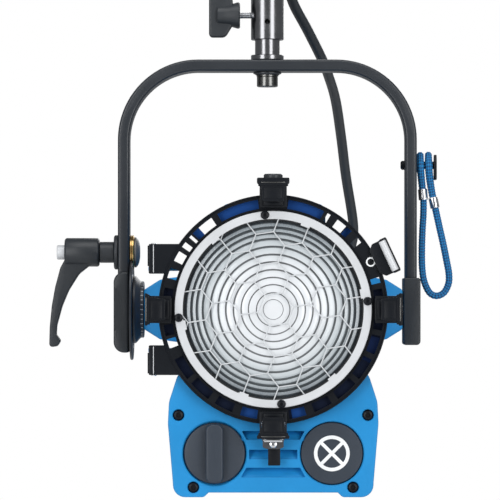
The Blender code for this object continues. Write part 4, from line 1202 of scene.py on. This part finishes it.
class SPOTLIGHT_OT_tilt_clamp(bpy.types.Operator):
    """Tilt clamp: bolt, pad, washers, lever, and the discs it grips"""

    bl_idname = "spotlight.tilt_clamp"
    bl_label = "Tilt clamp"
    bl_options = {"REGISTER", "UNDO"}

    def execute(self, context):
        prepared(context)
        centre = (0.0, 0.0, CLAMP_Z)
        dome = [
            (0.0, -160.5), (3.0, -160.5), (3.0, -101.3), (11.2, -101.3), (11.5, -101.0), (11.5, -100.0),
            (10.2, -98.8), (8.0, -97.8), (4.5, -97.1), (0.0, -97.0),
        ]
        self.round("clamp_dome_bolt", dome, "dull", "clamp_bolt", "steel")
        pad = [
            (3.3, -104.5), (12.6, -104.5), (13.0, -104.2), (13.0, -103.3), (12.5, -103.1), (13.0, -102.9),
            (13.0, -101.9), (12.6, -101.6), (3.3, -101.6),
        ]
        notch = rod("X", (0, 0, 0), 38.9, -106.0, -102.1, 96)
        self.round("clamp_pad", pad, "brass", "brake_pad", "brass", [notch])
        washer = [
            (3.3, -116.9), (12.0, -116.9), (12.9, -116.3), (13.1, -115.8), (13.1, -114.2), (12.8, -113.9),
            (3.3, -113.9),
        ]
        self.round("clamp_cup_washer", washer, "plastic", "clamp_washer", "steel")
        bush = [
            (3.3, -127.8), (7.6, -127.8), (8.0, -127.4), (8.0, -117.5), (7.7, -117.2), (3.3, -117.2),
        ]
        self.round("clamp_sleeve", bush, "plastic", "clamp_bush", "black_plastic")
        nut = [
            (3.3, -160.5), (4.8, -160.5), (5.3, -160.1), (5.5, -159.6), (5.5, -154.8), (3.3, -154.8),
        ]
        self.round("clamp_cap_nut", nut, "silver", "clamp_end_nut", "chrome")
        hub = [
            (0.0, -154.5), (9.3, -154.5), (10.3, -154.0), (10.9, -153.0), (10.9, -129.6), (10.5, -128.7),
            (9.6, -128.1), (0.0, -128.1),
        ]
        arm = (
            (-129.5, 34.2, 1), (-134.8, 34.0, 6), (-143.6, 27.0, 12), (-151.4, 14.6, 30), (-156.4, 2.6, 30),
            (-160.4, -12.0, 14), (-160.8, -18.8, 3), (-157.3, -23.6, 2.4), (-160.0, -28.0, 3),
            (-166.2, -28.9, 2.5), (-165.8, -13.0, 25), (-164.2, 3.0, 25), (-161.7, 17.0, 25),
            (-157.8, 31.7, 6), (-154.4, 38.0, 2), (-152.0, 44.0, 2), (-131.0, 44.0, 1),
        )
        piece(
            "tilt_lever", prism("Y", rounded(arm, 7), -6.0, 6.0, 2.6, 4), LOOKS["plastic"], "tilt_lock_lever",
            ["tilt_lock_lever"], HANGING, joins=[turned("X", centre, hub, 64)],
            cuts=[rod("X", centre, 3.3, -170, -120, 32)], sharp=42,
        )
        self.discs()
        return {"FINISHED"}

    def round(self, name, profile, look, node, slot, cuts=()):
        """A turned piece on the clamp's axis."""
        shape = turned("X", (0.0, 0.0, CLAMP_Z), profile, 64)
        piece(name, shape, LOOKS[look], "yoke", [node], HANGING, cuts=cuts)

    def discs(self):
        """Brake disc with a rubbed edge, and the scale disc with its ticks; both turn with the head."""
        brake = [
            (5.3, -108.8), (38.1, -108.8), (38.5, -108.4), (38.5, -107.2), (38.1, -106.8), (30.0, -106.8),
            (29.6, -107.1), (27.0, -107.1), (26.6, -106.8), (5.3, -106.8),
        ]
        piece(
            "tilt_brake_disc", turned("X", (0, 0, 0), brake, 96), LOOKS["black"], "head", ["brake_disc"],
        )
        scale = [
            (5.3, -106.4), (25.5, -106.4), (25.7, -106.2), (25.7, -104.9), (25.4, -104.4), (21.6, -101.0),
            (21.3, -100.5), (21.3, -98.7), (21.0, -98.4), (5.3, -98.4),
        ]
        ticks = []
        for step in range(36):
            tick = block((-100.3 - 0.35 * (step % 3 == 0), -0.25, 21.0), (-98.8, 0.25, 21.5))
            ticks.append(moved(tick, Matrix.Rotation(math.radians(step * 10), 4, "X")))
        piece(
            "tilt_scale_disc", turned("X", (0, 0, 0), scale, 96), LOOKS["graphite"], "head", ["scale_disc"],
        )
        piece("tilt_scale_ticks", merged(*ticks), LOOKS["silver"], "head")


# ---------------------------------------------------------------- head

def barrel_outline(radius, vent_half_width, vent_top, corner, steps=96):
    """Round barrel with the flat-topped vent along its crown."""
    start = math.degrees(math.acos(vent_half_width / radius))
    outline = arc(radius, 180 - start, 360 + start, steps)
    side = vent_half_width
    crown = ((side, 0, 0), (side, vent_top, corner), (-side, vent_top, corner), (-side, 0, 0))
    return outline + rounded(crown, 6)[1:-1]


def base_outline(inset=0.0):
    """Outline of the base, seen from the front: wide shoulders, slightly narrower feet."""
    side = -inset
    foot = BASE_FOOT + inset
    half = (
        (62.0 + side, -36.0 - inset, 2), (71.0 + side, -50.0, 12), (76.8 + side, -68.0, 20),
        (77.6 + side, -84.0, 30), (74.0 + side, -127.0, 0), (73.4 + side, foot, 9), (51.0 + inset, foot, 4),
        (47.6 + inset, -134.9 + inset, 1),
    )
    left = tuple((-x, z, r) for x, z, r in reversed(half))
    return rounded(half + left, 7)


class SPOTLIGHT_OT_barrel(bpy.types.Operator):
    """Barrel with its ears, cooling fins and top vent"""

    bl_idname = "spotlight.barrel"
    bl_label = "Barrel"
    bl_options = {"REGISTER", "UNDO"}

    def execute(self, context):
        prepared(context)
        shell = prism("Y", barrel_outline(BARREL_R, 38.5, 78.0, 6.0), BARREL_FRONT, BARREL_BACK, 0.8, 2)
        ears = []
        for side in (-1, 1):
            upper = ((62, 26, 0), (78, 24, 3), (86, 22.5, 3), (98.0, 14.9, 3))
            lower = tuple((x, -z, r) for x, z, r in reversed(upper))
            outline = rounded([(side * x, z, r) for x, z, r in upper + lower], 5)
            ears.append(prism("Y", outline, -21, 21, 1.6, 3))
        lugs = [block((-92, -103.7, z), (-62, -93, z + 3), 0.4) for z in (-31.5, 28.5)]
        inside = barrel_outline(BARREL_R - 3.0, 35.5, 75.0, 4.0)
        hollow = prism("Y", inside, BARREL_FRONT - 5, BARREL_BACK + 5)
        cuts = [
            hollow, rod("X", (0, 0, 0), PIVOT_R + GAP, -110, -78),
            rod("X", (0, 0, 0), PIVOT_R + GAP, 78, 110),
            rod("Z", (HINGE_X, HINGE_Y, 0), HINGE_PIN_R + GAP, -40, 40, 24),
            block((-36, -60, -90), (36, 76, -50)),
        ]
        cuts += [block((-30, y - 7, 70), (30, y + 7, 90)) for y in range(-72, 73, 24)]
        piece(
            "barrel_shell", shell, LOOKS["blue"], "head", ["barrel_casting"], joins=ears + lugs,
            cuts=cuts,
        )
        cover = block((-22, -84, 78.3), (22, 84, 80.3), 0.6)
        slots = [block((-16, y - 2, 75), (16, y + 2, 85)) for y in range(-72, 73, 12)]
        piece(
            "vent_cover", cover, LOOKS["black"], "head", ["top_vent_cover"], cuts=slots,
        )
        screws = [
            moved(screw_head((x, 0, 0), 2.6, 1.5, 1.2, 20), Matrix.Translation((0, y, 80.3)) @ along_up())
            for x in (-18.5, 18.5) for y in (-79.0, 79.0)
        ]
        piece("vent_screws", merged(*screws), LOOKS["dark_steel"], "head")
        self.fins()
        dress(("guide_rod_left", "guide_rod_right"), "steel")
        dress(("lamp_carriage",), "dark_steel")
        dress(("lamp_holder",), "ceramic")
        dress(("lamp",), "glass")
        dress(("reflector",), "mirror")
        return {"FINISHED"}

    def fins(self):
        """Shallow bands round the lower sides of the barrel, clear of the ears and the base."""
        bands = []
        for y in (-84.0, -72.0, -60.0, -48.0, -36.0, 36.0, 48.0, 60.0, 72.0, 84.0):
            for first, last in ((-36.0, 54.0), (126.0, 216.0)):
                outline = band((BARREL_R - 0.8, BARREL_R + 2.6), first, last, 22)
                bands.append(prism("Y", outline, y - 1.6, y + 1.6, 0.5, 2))
        piece("barrel_fins", merged(*bands), LOOKS["blue"], "head")


def along_up():
    """Turns a shape that points to the front so that it points up."""
    return Matrix.Rotation(-math.pi / 2, 4, "X")


class SPOTLIGHT_OT_base(bpy.types.Operator):
    """Base with its front panel, focus knob and badge"""

    bl_idname = "spotlight.base"
    bl_label = "Base and focus knob"
    bl_options = {"REGISTER", "UNDO"}

    def execute(self, context):
        prepared(context)
        shell = prism("Y", base_outline(), PANEL_BACK + GAP, BASE_BACK, 0.6, 2)
        saddle = rod("Y", (0, 0, 0), BARREL_R + 0.5, -110, 110, 128)
        vents = [
            block((side * 60 - 25, y - 3, -125), (side * 60 + 25, y + 3, -95), 1.0)
            for side in (-1, 1) for y in range(-60, 61, 20)
        ]
        piece(
            "base_shell", shell, LOOKS["blue"], "head", ["base_housing"],
            cuts=[prism("Y", base_outline(3.0), -110, 110), saddle] + vents,
        )
        self.panel()
        self.knob()
        self.badge()
        return {"FINISHED"}

    def panel(self):
        """Front panel with its louvres, its screws, and sunk places for the knob and the badge."""
        front = prism("Y", base_outline(), BASE_FRONT, PANEL_BACK, 2.2, 5)
        cuts = [rod("Y", (0, 0, 0), BARREL_R + 0.5, -110, -90, 128)]
        for x in (-DISC_X, DISC_X):
            recess = [(0, -99.0), (23.5, -99.0), (23.5, -103.7), (24.4, -104.6), (24.4, -110), (0, -110)]
            cuts.append(turned("Y", (x, 0, DISC_Z), recess, 96))
        cuts.append(rod("Y", (-DISC_X, 0, DISC_Z), 4.4, -105, -90, 32))
        for wide, narrow, low, high in LOUVRES:
            corners = ((-narrow, low, 0.5), (narrow, low, 0.5), (wide, high, 0.5), (-wide, high, 0.5))
            cuts.append(prism("Y", rounded(corners, 3), -110, -90))
        for x, z in SCREW_PLACES:
            hole = [(0, -101.0), (4.3, -101.0), (4.3, -104.0), (4.9, -104.6), (4.9, -108), (0, -108)]
            cuts.append(turned("Y", (x, 0, z), hole, 40))
        piece("base_front", front, LOOKS["blue"], "head", ["front_panel"], cuts=cuts)
        screws = [screw_head((x, -101.2, z), 3.9, 2.6, 1.9, 32) for x, z in SCREW_PLACES]
        piece("panel_screws", merged(*screws), LOOKS["deep"], "head")
        blades = []
        for wide, narrow, low, high in LOUVRES:
            half = max(wide, narrow) + 0.8
            slope = [(-102.6, low - 0.6), (-102.6, low + 0.4), (-97.2, high + 0.6), (-95.3, high + 0.6)]
            blades.append(prism("X", slope + [(-95.3, low - 0.6)], -half, half))
        piece("louvre_blades", merged(*blades), LOOKS["blue"], "head")

    def knob(self):
        """Focus knob with a raised grip, and its leadscrew."""
        profile = [
            (0, -99.4), (22.2, -99.4), (22.5, -99.8), (22.5, -102.4), (22.1, -103.3), (21.2, -103.6),
            (0, -103.6),
        ]
        grip = prism("Y", oblong(6.5, 21.6, 5.0, 8, (-DISC_X, DISC_Z)), -110.5, -101, 1.5, 4)
        piece(
            "focus_dial", turned("Y", (-DISC_X, 0, DISC_Z), profile, 96), LOOKS["slate"], "focus_knob",
            ["focus_knob"], joins=[grip],
        )
        dress(("focus_leadscrew",), "steel")

    def badge(self):
        """Disc with the usual sign for a lamp, a crossed circle."""
        profile = [
            (0, -99.4), (22.6, -99.4), (22.9, -99.8), (22.9, -102.4), (22.4, -103.2), (21.8, -103.3),
            (0, -103.3),
        ]
        centre = (DISC_X, 0, DISC_Z)
        piece(
            "badge_plate", turned("Y", centre, profile, 96), LOOKS["slate"], "head", ["badge_disc"],
        )
        ring = turned("Y", centre, [(10.6, -103.0), (13.2, -103.0), (13.2, -103.55), (10.6, -103.55)], 72)
        place = Matrix.Translation(centre)
        bars = []
        for angle in (45.0, 135.0):
            bar = block((-11.2, -103.55, -1.25), (11.2, -103.0, 1.25))
            bars.append(moved(bar, place @ Matrix.Rotation(math.radians(angle), 4, "Y")))
        piece("badge_lamp_sign", ring, LOOKS["white"], "head", joins=bars)


class SPOTLIGHT_OT_rear(bpy.types.Operator):
    """Covers on the back of the head"""

    bl_idname = "spotlight.rear"
    bl_label = "Rear covers"
    bl_options = {"REGISTER", "UNDO"}

    def execute(self, context):
        prepared(context)
        outline = barrel_outline(BARREL_R, 38.5, 78.0, 6.0)
        cover = prism("Y", outline, BARREL_BACK + GAP, BARREL_BACK + 6, 1.4, 3)
        slots = [prism("Y", oblong(34, 3, 2.9, 6, (0, z)), 90, 110) for z in range(-24, 25, 12)]
        piece("barrel_rear_cover", cover, LOOKS["blue"], "head", ["rear_cover"], cuts=slots)
        panel = prism("Y", base_outline(), BASE_BACK + GAP, BASE_BACK + 5, 1.2, 3)
        piece(
            "base_rear_panel", panel, LOOKS["blue"], "head", ["rear_panel"],
            cuts=[rod("Y", (0, 0, 0), BARREL_R + 0.5, 90, 110, 128)],
        )
        flip = Matrix.Rotation(math.pi, 4, "Z")
        places = [(x, BASE_BACK + 5, z) for x, z in SCREW_PLACES]
        for angle in (40, 140, 220, 320):
            x, z = polar(60, angle)
            places.append((x, BARREL_BACK + 6, z))
        screws = []
        for place in places:
            screw = screw_head((0, 0, 0), 3.4, 1.8, 1.6, 24)
            screws.append(moved(screw, Matrix.Translation(place) @ flip))
        piece("rear_screws", merged(*screws), LOOKS["dark_steel"], "head")
        return {"FINISHED"}


# ---------------------------------------------------------------- lens door

def window_cutter(middle_angle, span):
    """A window through the ring, between two radii."""
    steps = max(2, round(span / 3))
    return prism("Y", band(WINDOW_RADII, middle_angle - span / 2, middle_angle + span / 2, steps), -115, -102)


class SPOTLIGHT_OT_door_ring(bpy.types.Operator):
    """Ring of the lens door with its windows and hinge leaves"""

    bl_idname = "spotlight.door_ring"
    bl_label = "Lens door ring"
    bl_options = {"REGISTER", "UNDO"}

    def execute(self, context):
        prepared(context)
        profile = (
            (64.0, -105.0), (84.2, -105.0), (84.5, -105.3), (84.5, -111.4), (84.1, RING_FACE),
            (83.3, RING_FACE),
            (82.9, -111.2), (74.0, -111.2), (73.6, RING_FACE), (RIM_INNER, RING_FACE), (RIM_INNER, -107.0),
            (64.0, -107.0),
        )
        ring = turned("Y", (0, 0, 0), profile, 144)
        leaves = []
        for side in (-1, 1):
            low, high = sorted((side * 26.3, side * 48.2))
            corners = ((-91.5, low, 1), (-66, low, 0), (-66, high, 0), (-91.5, high, 1))
            leaves.append(prism("Y", rounded(corners, 4), -111.6, -105.4, 0.5, 2))
            near, far = sorted((side * 32.0, side * 47.0))
            outline = arc(4.4, 0, 180, 16, (HINGE_X, HINGE_Y))
            outline += [Vector((HINGE_X - 4.4, -108)), Vector((HINGE_X + 4.4, -108))]
            leaves.append(prism("Z", outline, near, far))
        keeper = around(block((80, -111.6, -6), (91.8, -105.4, 6), 0.5), LATCH_ANGLE)
        cuts = [rod("Y", (0, 0, 0), RIM_INNER + 0.1, -120, -107, 144)]
        cuts += [rod("Z", (HINGE_X, HINGE_Y, 0), HINGE_PIN_R + GAP, low, low + 29, 24) for low in (31, -60)]
        cuts += [window_cutter(*window) for window in WINDOWS]
        cuts += [block((-88.5, -112.5, low), (-87.5, -111.0, low + 20)) for low in (27.3, -47.2)]
        piece(
            "lens_door_ring", ring, LOOKS["deep"], "lens_door", ["door_ring"],
            joins=leaves + [keeper], cuts=cuts,
        )
        trims = [rod("Z", (-88.0, -111.35, 0), 0.32, low, low + 20, 12) for low in (27.3, -47.2)]
        piece("hinge_trims", merged(*trims), LOOKS["silver"], "lens_door")
        self.shadow_plates()
        x, z = polar(79.7, 26.0)
        screw = screw_head((x, -111.0, z), 2.3, 1.6, 1.1, 24)
        piece("door_screw", screw, LOOKS["deep"], "lens_door")
        washer = turned("Y", (x, 0, z), [(2.4, -111.0), (3.5, -111.0), (3.5, -111.9), (2.4, -111.9)], 32)
        piece("door_screw_washer", washer, LOOKS["white"], "lens_door")
        for place, low in (("upper", 28.0), ("lower", -49.0)):
            pin = turned("Z", (HINGE_X, HINGE_Y, 0), dowel(HINGE_PIN_R, low, low + 21.0, 0.4), 28)
            piece(f"hinge_dowel_{place}", pin, LOOKS["bright"], "head", [f"hinge_pin_{place}"])
        return {"FINISHED"}

    def shadow_plates(self):
        """Thin dark plates behind the windows, painted shade for the inside of the head; the gaps between
        them stay open.
        """
        for name, look, spans in (
            ("ring_deep_shadow_plate", "deep_shadow_navy", DEEP_SHADOW_SPANS), ("ring_half_shadow_plate", "half_shadow_blue", HALF_SHADOW_SPANS),
            ("ring_shaded_blue_plate", "inside", SHADED_BLUE_SPANS),
        ):
            plates = []
            for first, last in spans:
                steps = max(2, round((last - first) / 3))
                plates.append(prism("Y", band(SHADOW_PLATE_RADII, first, last, steps), -106.2, -105.4))
            piece(name, merged(*plates), LOOKS[look], "lens_door")


class SPOTLIGHT_OT_lens(bpy.types.Operator):
    """Fresnel lens, its retaining ring and the wire guard"""

    bl_idname = "spotlight.lens"
    bl_label = "Lens and guard"
    bl_options = {"REGISTER", "UNDO"}

    def execute(self, context):
        sizes = prepared(context)
        self.lens()
        self.ring()
        self.guard(sizes.guard_wire * MILLIMETRES, sizes.guard_side * MILLIMETRES)
        return {"FINISHED"}

    def lens(self):
        """Each step rises away from the middle and drops back at its rim."""
        profile = [
            (0.0, LENS_BACK), (LENS_RIM_R, LENS_BACK), (LENS_RIM_R, LENS_FLAT),
            (LENS_STEPS[-1] + 0.4, LENS_FLAT),
        ]
        for number in range(len(LENS_STEPS) - 1, 0, -1):
            outer = LENS_STEPS[number]
            inner = LENS_STEPS[number - 1]
            rise = 0.5 + 2.3 * outer / LENS_STEPS[-1]
            profile.append((outer, LENS_FLAT))
            profile.append((outer - self.step_width(outer), LENS_FLAT - rise * 0.45))
            profile.append(((outer + inner) / 2, LENS_FLAT - rise * 0.8))
            profile.append((inner + 0.12, LENS_FLAT - rise))
        inner = LENS_STEPS[0]
        profile += [(inner, LENS_FLAT), (inner - 0.4, -110.5), (5.0, -110.75), (2.5, -110.95), (0.0, -111.0)]
        made = piece(
            "lens_glass", turned("Y", (0, 0, 0), profile, 144), LOOKS["glass"], "lens_door", ["fresnel_lens"],
            sharp=20,
        )
        # The steep rims of the steps get the darker copy of the glass: painted shade.
        made.data.materials.append(LOOKS["painted_shade_glass"])
        for face in made.data.polygons:
            centre = face.center * MILLIMETRES - HEAD
            reach = math.hypot(centre.x, centre.z)
            steep = any(outer - self.step_width(outer) < reach < outer for outer in LENS_STEPS)
            face.material_index = int(steep and centre.y < -109.0)

    def step_width(self, radius):
        """Width of a step's rim that gets the painted shade, seen from the front."""
        return 0.4 + 1.5 * radius / LENS_STEPS[-1]

    def ring(self):
        """Retaining ring with six tabs, a dark ring behind it as painted shadow, and its four screws."""
        profile = (
            (64.9, -115.0), (72.3, -115.0), (72.3, -115.8), (71.9, -116.2), (65.2, -116.2), (64.9, -115.9),
        )
        recesses = []
        tabs = (10.0, 69.0, 130.0, 190.0, 251.0, 311.0)
        for first, last in zip(tabs, tabs[1:] + (370.0,)):
            recesses.append(prism("Y", band((60.0, 66.4), first + 3.0, last - 3.0, 24), -118, RING_FACE))
        piece(
            "retaining_ring", turned("Y", (0, 0, 0), profile, 144), LOOKS["silver"], "lens_door",
            ["lens_retaining_ring"], cuts=recesses,
        )
        # Painted shadow: black rubber ring round the lens rim, for the shade under the retaining ring.
        shadow = turned("Y", (0, 0, 0), [(65.3, -111.0), (68.5, -111.0), (68.5, -113.4), (65.3, -113.4)], 144)
        piece("lens_rim_shadow_ring", shadow, LOOKS["rubber"], "lens_door")
        screws = []
        for angle in (5.0, 95.0, 185.0, 275.0):
            x, z = polar(69.6, angle)
            screws.append(screw_head((x, -116.1, z), 3.2, 1.9, 1.3, 32))
        piece("ring_screws", merged(*screws), LOOKS["deep"], "lens_door")

    def guard(self, wire, side):
        """Welded hexagonal guard of round wire."""
        first = Vector((8.9, -44.8))
        lean = 8.5
        turn = Matrix.Rotation(math.radians(lean), 2)
        wires = []
        for column in range(-7, 8):
            for row in range(-7, 9):
                offset = Vector((1.5 * side * column, math.sqrt(3) * side * (row + column % 2 / 2)))
                corners = arc(side, lean, lean + 180, 3, first + turn @ offset)
                for start, end in zip(corners, corners[1:]):
                    clipped = self.clip(start, end, GUARD_LIMIT)
                    if clipped:
                        wires.append(self.wire(*clipped, wire / 2))
        piece("guard_wires", merged(*wires), LOOKS["wire"], "lens_door", ["wire_guard"], sharp=50)

    def clip(self, start, end, limit):
        """The part of a line inside a circle, or None."""
        if start.length > end.length:
            start, end = end, start
        if start.length > limit:
            return None
        if end.length > limit:
            low, high = 0.0, 1.0
            for _ in range(20):
                half = (low + high) / 2
                low, high = (half, high) if start.lerp(end, half).length < limit else (low, half)
            end = start.lerp(end, low)
        return (start, end) if (end - start).length > 0.5 else None

    def wire(self, start, end, radius):
        """One straight wire of the guard."""
        a = Vector((start.x, GUARD_Y, start.y))
        b = Vector((end.x, GUARD_Y, end.y))
        line = b - a
        grown = line.length + radius
        matrix = Matrix.Translation((a + b) / 2) @ line.to_track_quat("Z", "Y").to_matrix().to_4x4()
        bm = bmesh.new()
        bmesh.ops.create_cone(
            bm, cap_ends=True, segments=8, radius1=radius, radius2=radius, depth=grown, matrix=matrix
        )
        return bm


class SPOTLIGHT_OT_brackets(bpy.types.Operator):
    """Accessory brackets with the catch, springs and clip"""

    bl_idname = "spotlight.brackets"
    bl_label = "Accessory brackets"
    bl_options = {"REGISTER", "UNDO"}

    def execute(self, context):
        prepared(context)
        for node, angle, tip in BRACKETS:
            self.bracket(node, angle, tip)
        self.catch()
        self.clip()
        return {"FINISHED"}

    def bracket(self, node, angle, tip):
        """Channel of bent sheet: foot on the ring, wall outside, and a tapered lip with wings in front."""
        wall = block((90.5, -124.5, -11), (93, -112.9, 11), 0.5)
        foot = block((75, -114.2, -10), (93, -112.3, 10), 0.3)
        corners = ((79.0, -7.7, 0.8), (91.6, -9.2, 0.4), (91.6, 9.2, 0.4), (79.0, 7.7, 0.8))
        lip = prism("Y", rounded(corners, 4), -126.8, -122.6, 0.7, 3)
        corners = (
            (90.6, -9.3, 0.6), (92.2, -11.9, 1.2), (tip, -11.9, 1.0), (tip, 11.9, 1.0), (92.2, 11.9, 1.2),
            (90.6, 9.3, 0.6),
        )
        wings = prism("Y", rounded(corners, 4), -127.4, -125.9, 0.5, 3)
        neck = block((74.6, -113.9, -8.2), (79.6, -111.9, 8.2), 0.4)
        step = block((76.4, -116.4, -7.0), (79.4, -113.4, 7.0), 0.5)
        shapes = [around(shape, angle) for shape in (foot, lip, wings, neck, step)]
        groove = around(block((81.2, -127.4, -6.6), (89.4, -126.4, 6.6), 0.4), angle)
        piece(
            f"{node}_channel", around(wall, angle), LOOKS["deep"], "lens_door", [node],
            joins=shapes, cuts=[groove],
        )
        trim = around(block((92.6, -127.75, -8.6), (93.3, -127.3, 8.6), 0.15), angle)
        piece(f"{node}_trim", trim, LOOKS["dark_steel"], "lens_door")

    def catch(self):
        """Knurled head of the catch on the top bracket."""
        profile = [
            (0.0, 93.4), (5.0, 93.4), (6.6, 94.2), (7.0, 94.6), (7.0, 98.4), (6.4, 99.2), (5.6, 99.4),
            (0.0, 99.4),
        ]
        grooves = []
        for step in range(18):
            flute = rod("Z", (7.25, 0, 0), 0.45, 90, 102, 8)
            place = Matrix.Translation((0, -118.5, 0)) @ Matrix.Rotation(math.radians(step * 20), 4, "Z")
            grooves.append(moved(flute, place))
        piece(
            "catch_knob", turned("Z", (0, -118.5, 0), profile, 54), LOOKS["plastic"], "top_catch",
            ["top_catch"], cuts=grooves,
        )

    def clip(self):
        """Sprung clip on the bottom bracket, with its screw, tongue, bar and springs."""
        corners = (
            (-9, -93.4, 0.4), (9, -93.4, 0.4), (7.7, -97.0, 1), (7.7, -101.2, 1.2), (4, -102.5, 1),
            (-4, -102.5, 1), (-7.7, -101.2, 1.2), (-7.7, -97.0, 1),
        )
        piece(
            "sprung_clip", prism("Y", rounded(corners, 4), -116.0, -113.0, 0.6, 3), LOOKS["graphite"],
            "lens_door", ["spring_clip"],
        )
        screw = screw_head((0.0, -115.9, -98.6), 3.1, 1.7, 1.3, 32)
        piece("clip_screw", screw, LOOKS["bright"], "lens_door")
        strap = block((-3.8, -112.6, -114.7), (5.2, -110.6, -93.4), 0.5)
        piece("clip_tongue", strap, LOOKS["deep"], "lens_door", ["clip_strap"])
        bar = rod("X", (0, -122.0, -96.2), 0.8, -6.6, 6.6, 24)
        piece("clip_bar", eased(bar, 0.2), LOOKS["silver"], "lens_door")
        for name, side in (("clip_spring_left", -1), ("clip_spring_right", 1)):
            spring(
                name, (side * 7.6, -121.2, -82.0), (side * 6.2, -120.6, -95.4), 1.35, 0.35, 11,
                LOOKS["bright"], "lens_door",
            )


class SPOTLIGHT_OT_latch(bpy.types.Operator):
    """Latch that keeps the lens door shut"""

    bl_idname = "spotlight.latch"
    bl_label = "Latch"
    bl_options = {"REGISTER", "UNDO"}

    def execute(self, context):
        prepared(context)
        r = 94.5
        y = -93.0
        bracket = around(block((70.9, -102, -5), (97, -88, 5), 0.8), LATCH_ANGLE)
        piece(
            "latch_holder", bracket, LOOKS["black"], "head", ["latch_bracket"],
            joins=[around(rod("Z", (r, y, 0), 1.5, -13, 13, 24), LATCH_ANGLE)],
        )
        arm = around(block((92.3, -113.0, -13.5), (97.3, -90.5, 13.5), 0.7, 3), LATCH_ANGLE)
        cuts = [
            around(block((85, -103, -5.4), (105, -80, 5.4)), LATCH_ANGLE),
            around(rod("Z", (r, y, 0), 1.8, -20, 20, 24), LATCH_ANGLE),
            around(block((88, -111.4, -9.0), (95.9, -104.5, 9.0)), LATCH_ANGLE),
        ]
        piece("latch_yoke", arm, LOOKS["deep"], "latch_arm", ["latch_arm"], cuts=cuts)
        corners = (
            (82.2, -9.0, 1.5), (85.8, -12.8, 1.5), (97.4, -13.0, 1), (97.4, 13.0, 1), (85.8, 12.8, 1.5),
            (82.2, 9.0, 1.5),
        )
        cover = around(prism("Y", rounded(corners, 4), -114.6, -112.4, 0.5, 2), LATCH_ANGLE)
        trough = around(rod("Z", (93.4, -115.6, 0), 3.1, -12.3, 12.3, 40), LATCH_ANGLE)
        piece("latch_cover", cover, LOOKS["deep"], "latch_arm", cuts=[trough])
        shape = around(turned("Z", (93.4, -115.6, 0), dowel(2.7, -11.9, 11.9, 0.4), 48), LATCH_ANGLE)
        piece("latch_roller", shape, LOOKS["silver"], "latch_arm")
        return {"FINISHED"}


# ---------------------------------------------------------------- add-on

MAKERS = (
    SPOTLIGHT_OT_stage, SPOTLIGHT_OT_power_cable, SPOTLIGHT_OT_safety_cord, SPOTLIGHT_OT_yoke,
    SPOTLIGHT_OT_receptacle, SPOTLIGHT_OT_tilt_clamp, SPOTLIGHT_OT_barrel, SPOTLIGHT_OT_base,
    SPOTLIGHT_OT_rear, SPOTLIGHT_OT_door_ring, SPOTLIGHT_OT_lens, SPOTLIGHT_OT_brackets, SPOTLIGHT_OT_latch,
)


class SPOTLIGHT_PT_panel(bpy.types.Panel):
    """Buttons that make the spotlight piece by piece"""

    bl_idname = "SPOTLIGHT_PT_panel"
    bl_label = "Fresnel spotlight"
    bl_space_type = "VIEW_3D"
    bl_region_type = "UI"
    bl_category = "Spotlight"

    def draw(self, context):
        for group in (context.scene.spotlight_sizes, context.scene.spotlight_colours):
            for key in group.bl_rna.properties.keys():
                if key not in ("rna_type", "name"):
                    self.layout.prop(group, key)
        for maker in MAKERS:
            self.layout.operator(maker.bl_idname)


CLASSES = (SpotlightSizes, SpotlightColours, *MAKERS, SPOTLIGHT_PT_panel)


def register():
    for each in CLASSES:
        bpy.utils.register_class(each)
    bpy.types.Scene.spotlight_sizes = bpy.props.PointerProperty(type=SpotlightSizes)
    bpy.types.Scene.spotlight_colours = bpy.props.PointerProperty(type=SpotlightColours)


def unregister():
    del bpy.types.Scene.spotlight_colours
    del bpy.types.Scene.spotlight_sizes
    for each in reversed(CLASSES):
        bpy.utils.unregister_class(each)


def main():
    register()
    for maker in MAKERS:
        group, name = maker.bl_idname.split(".")
        getattr(getattr(bpy.ops, group), name)()


if __name__ == "__main__":
    main()
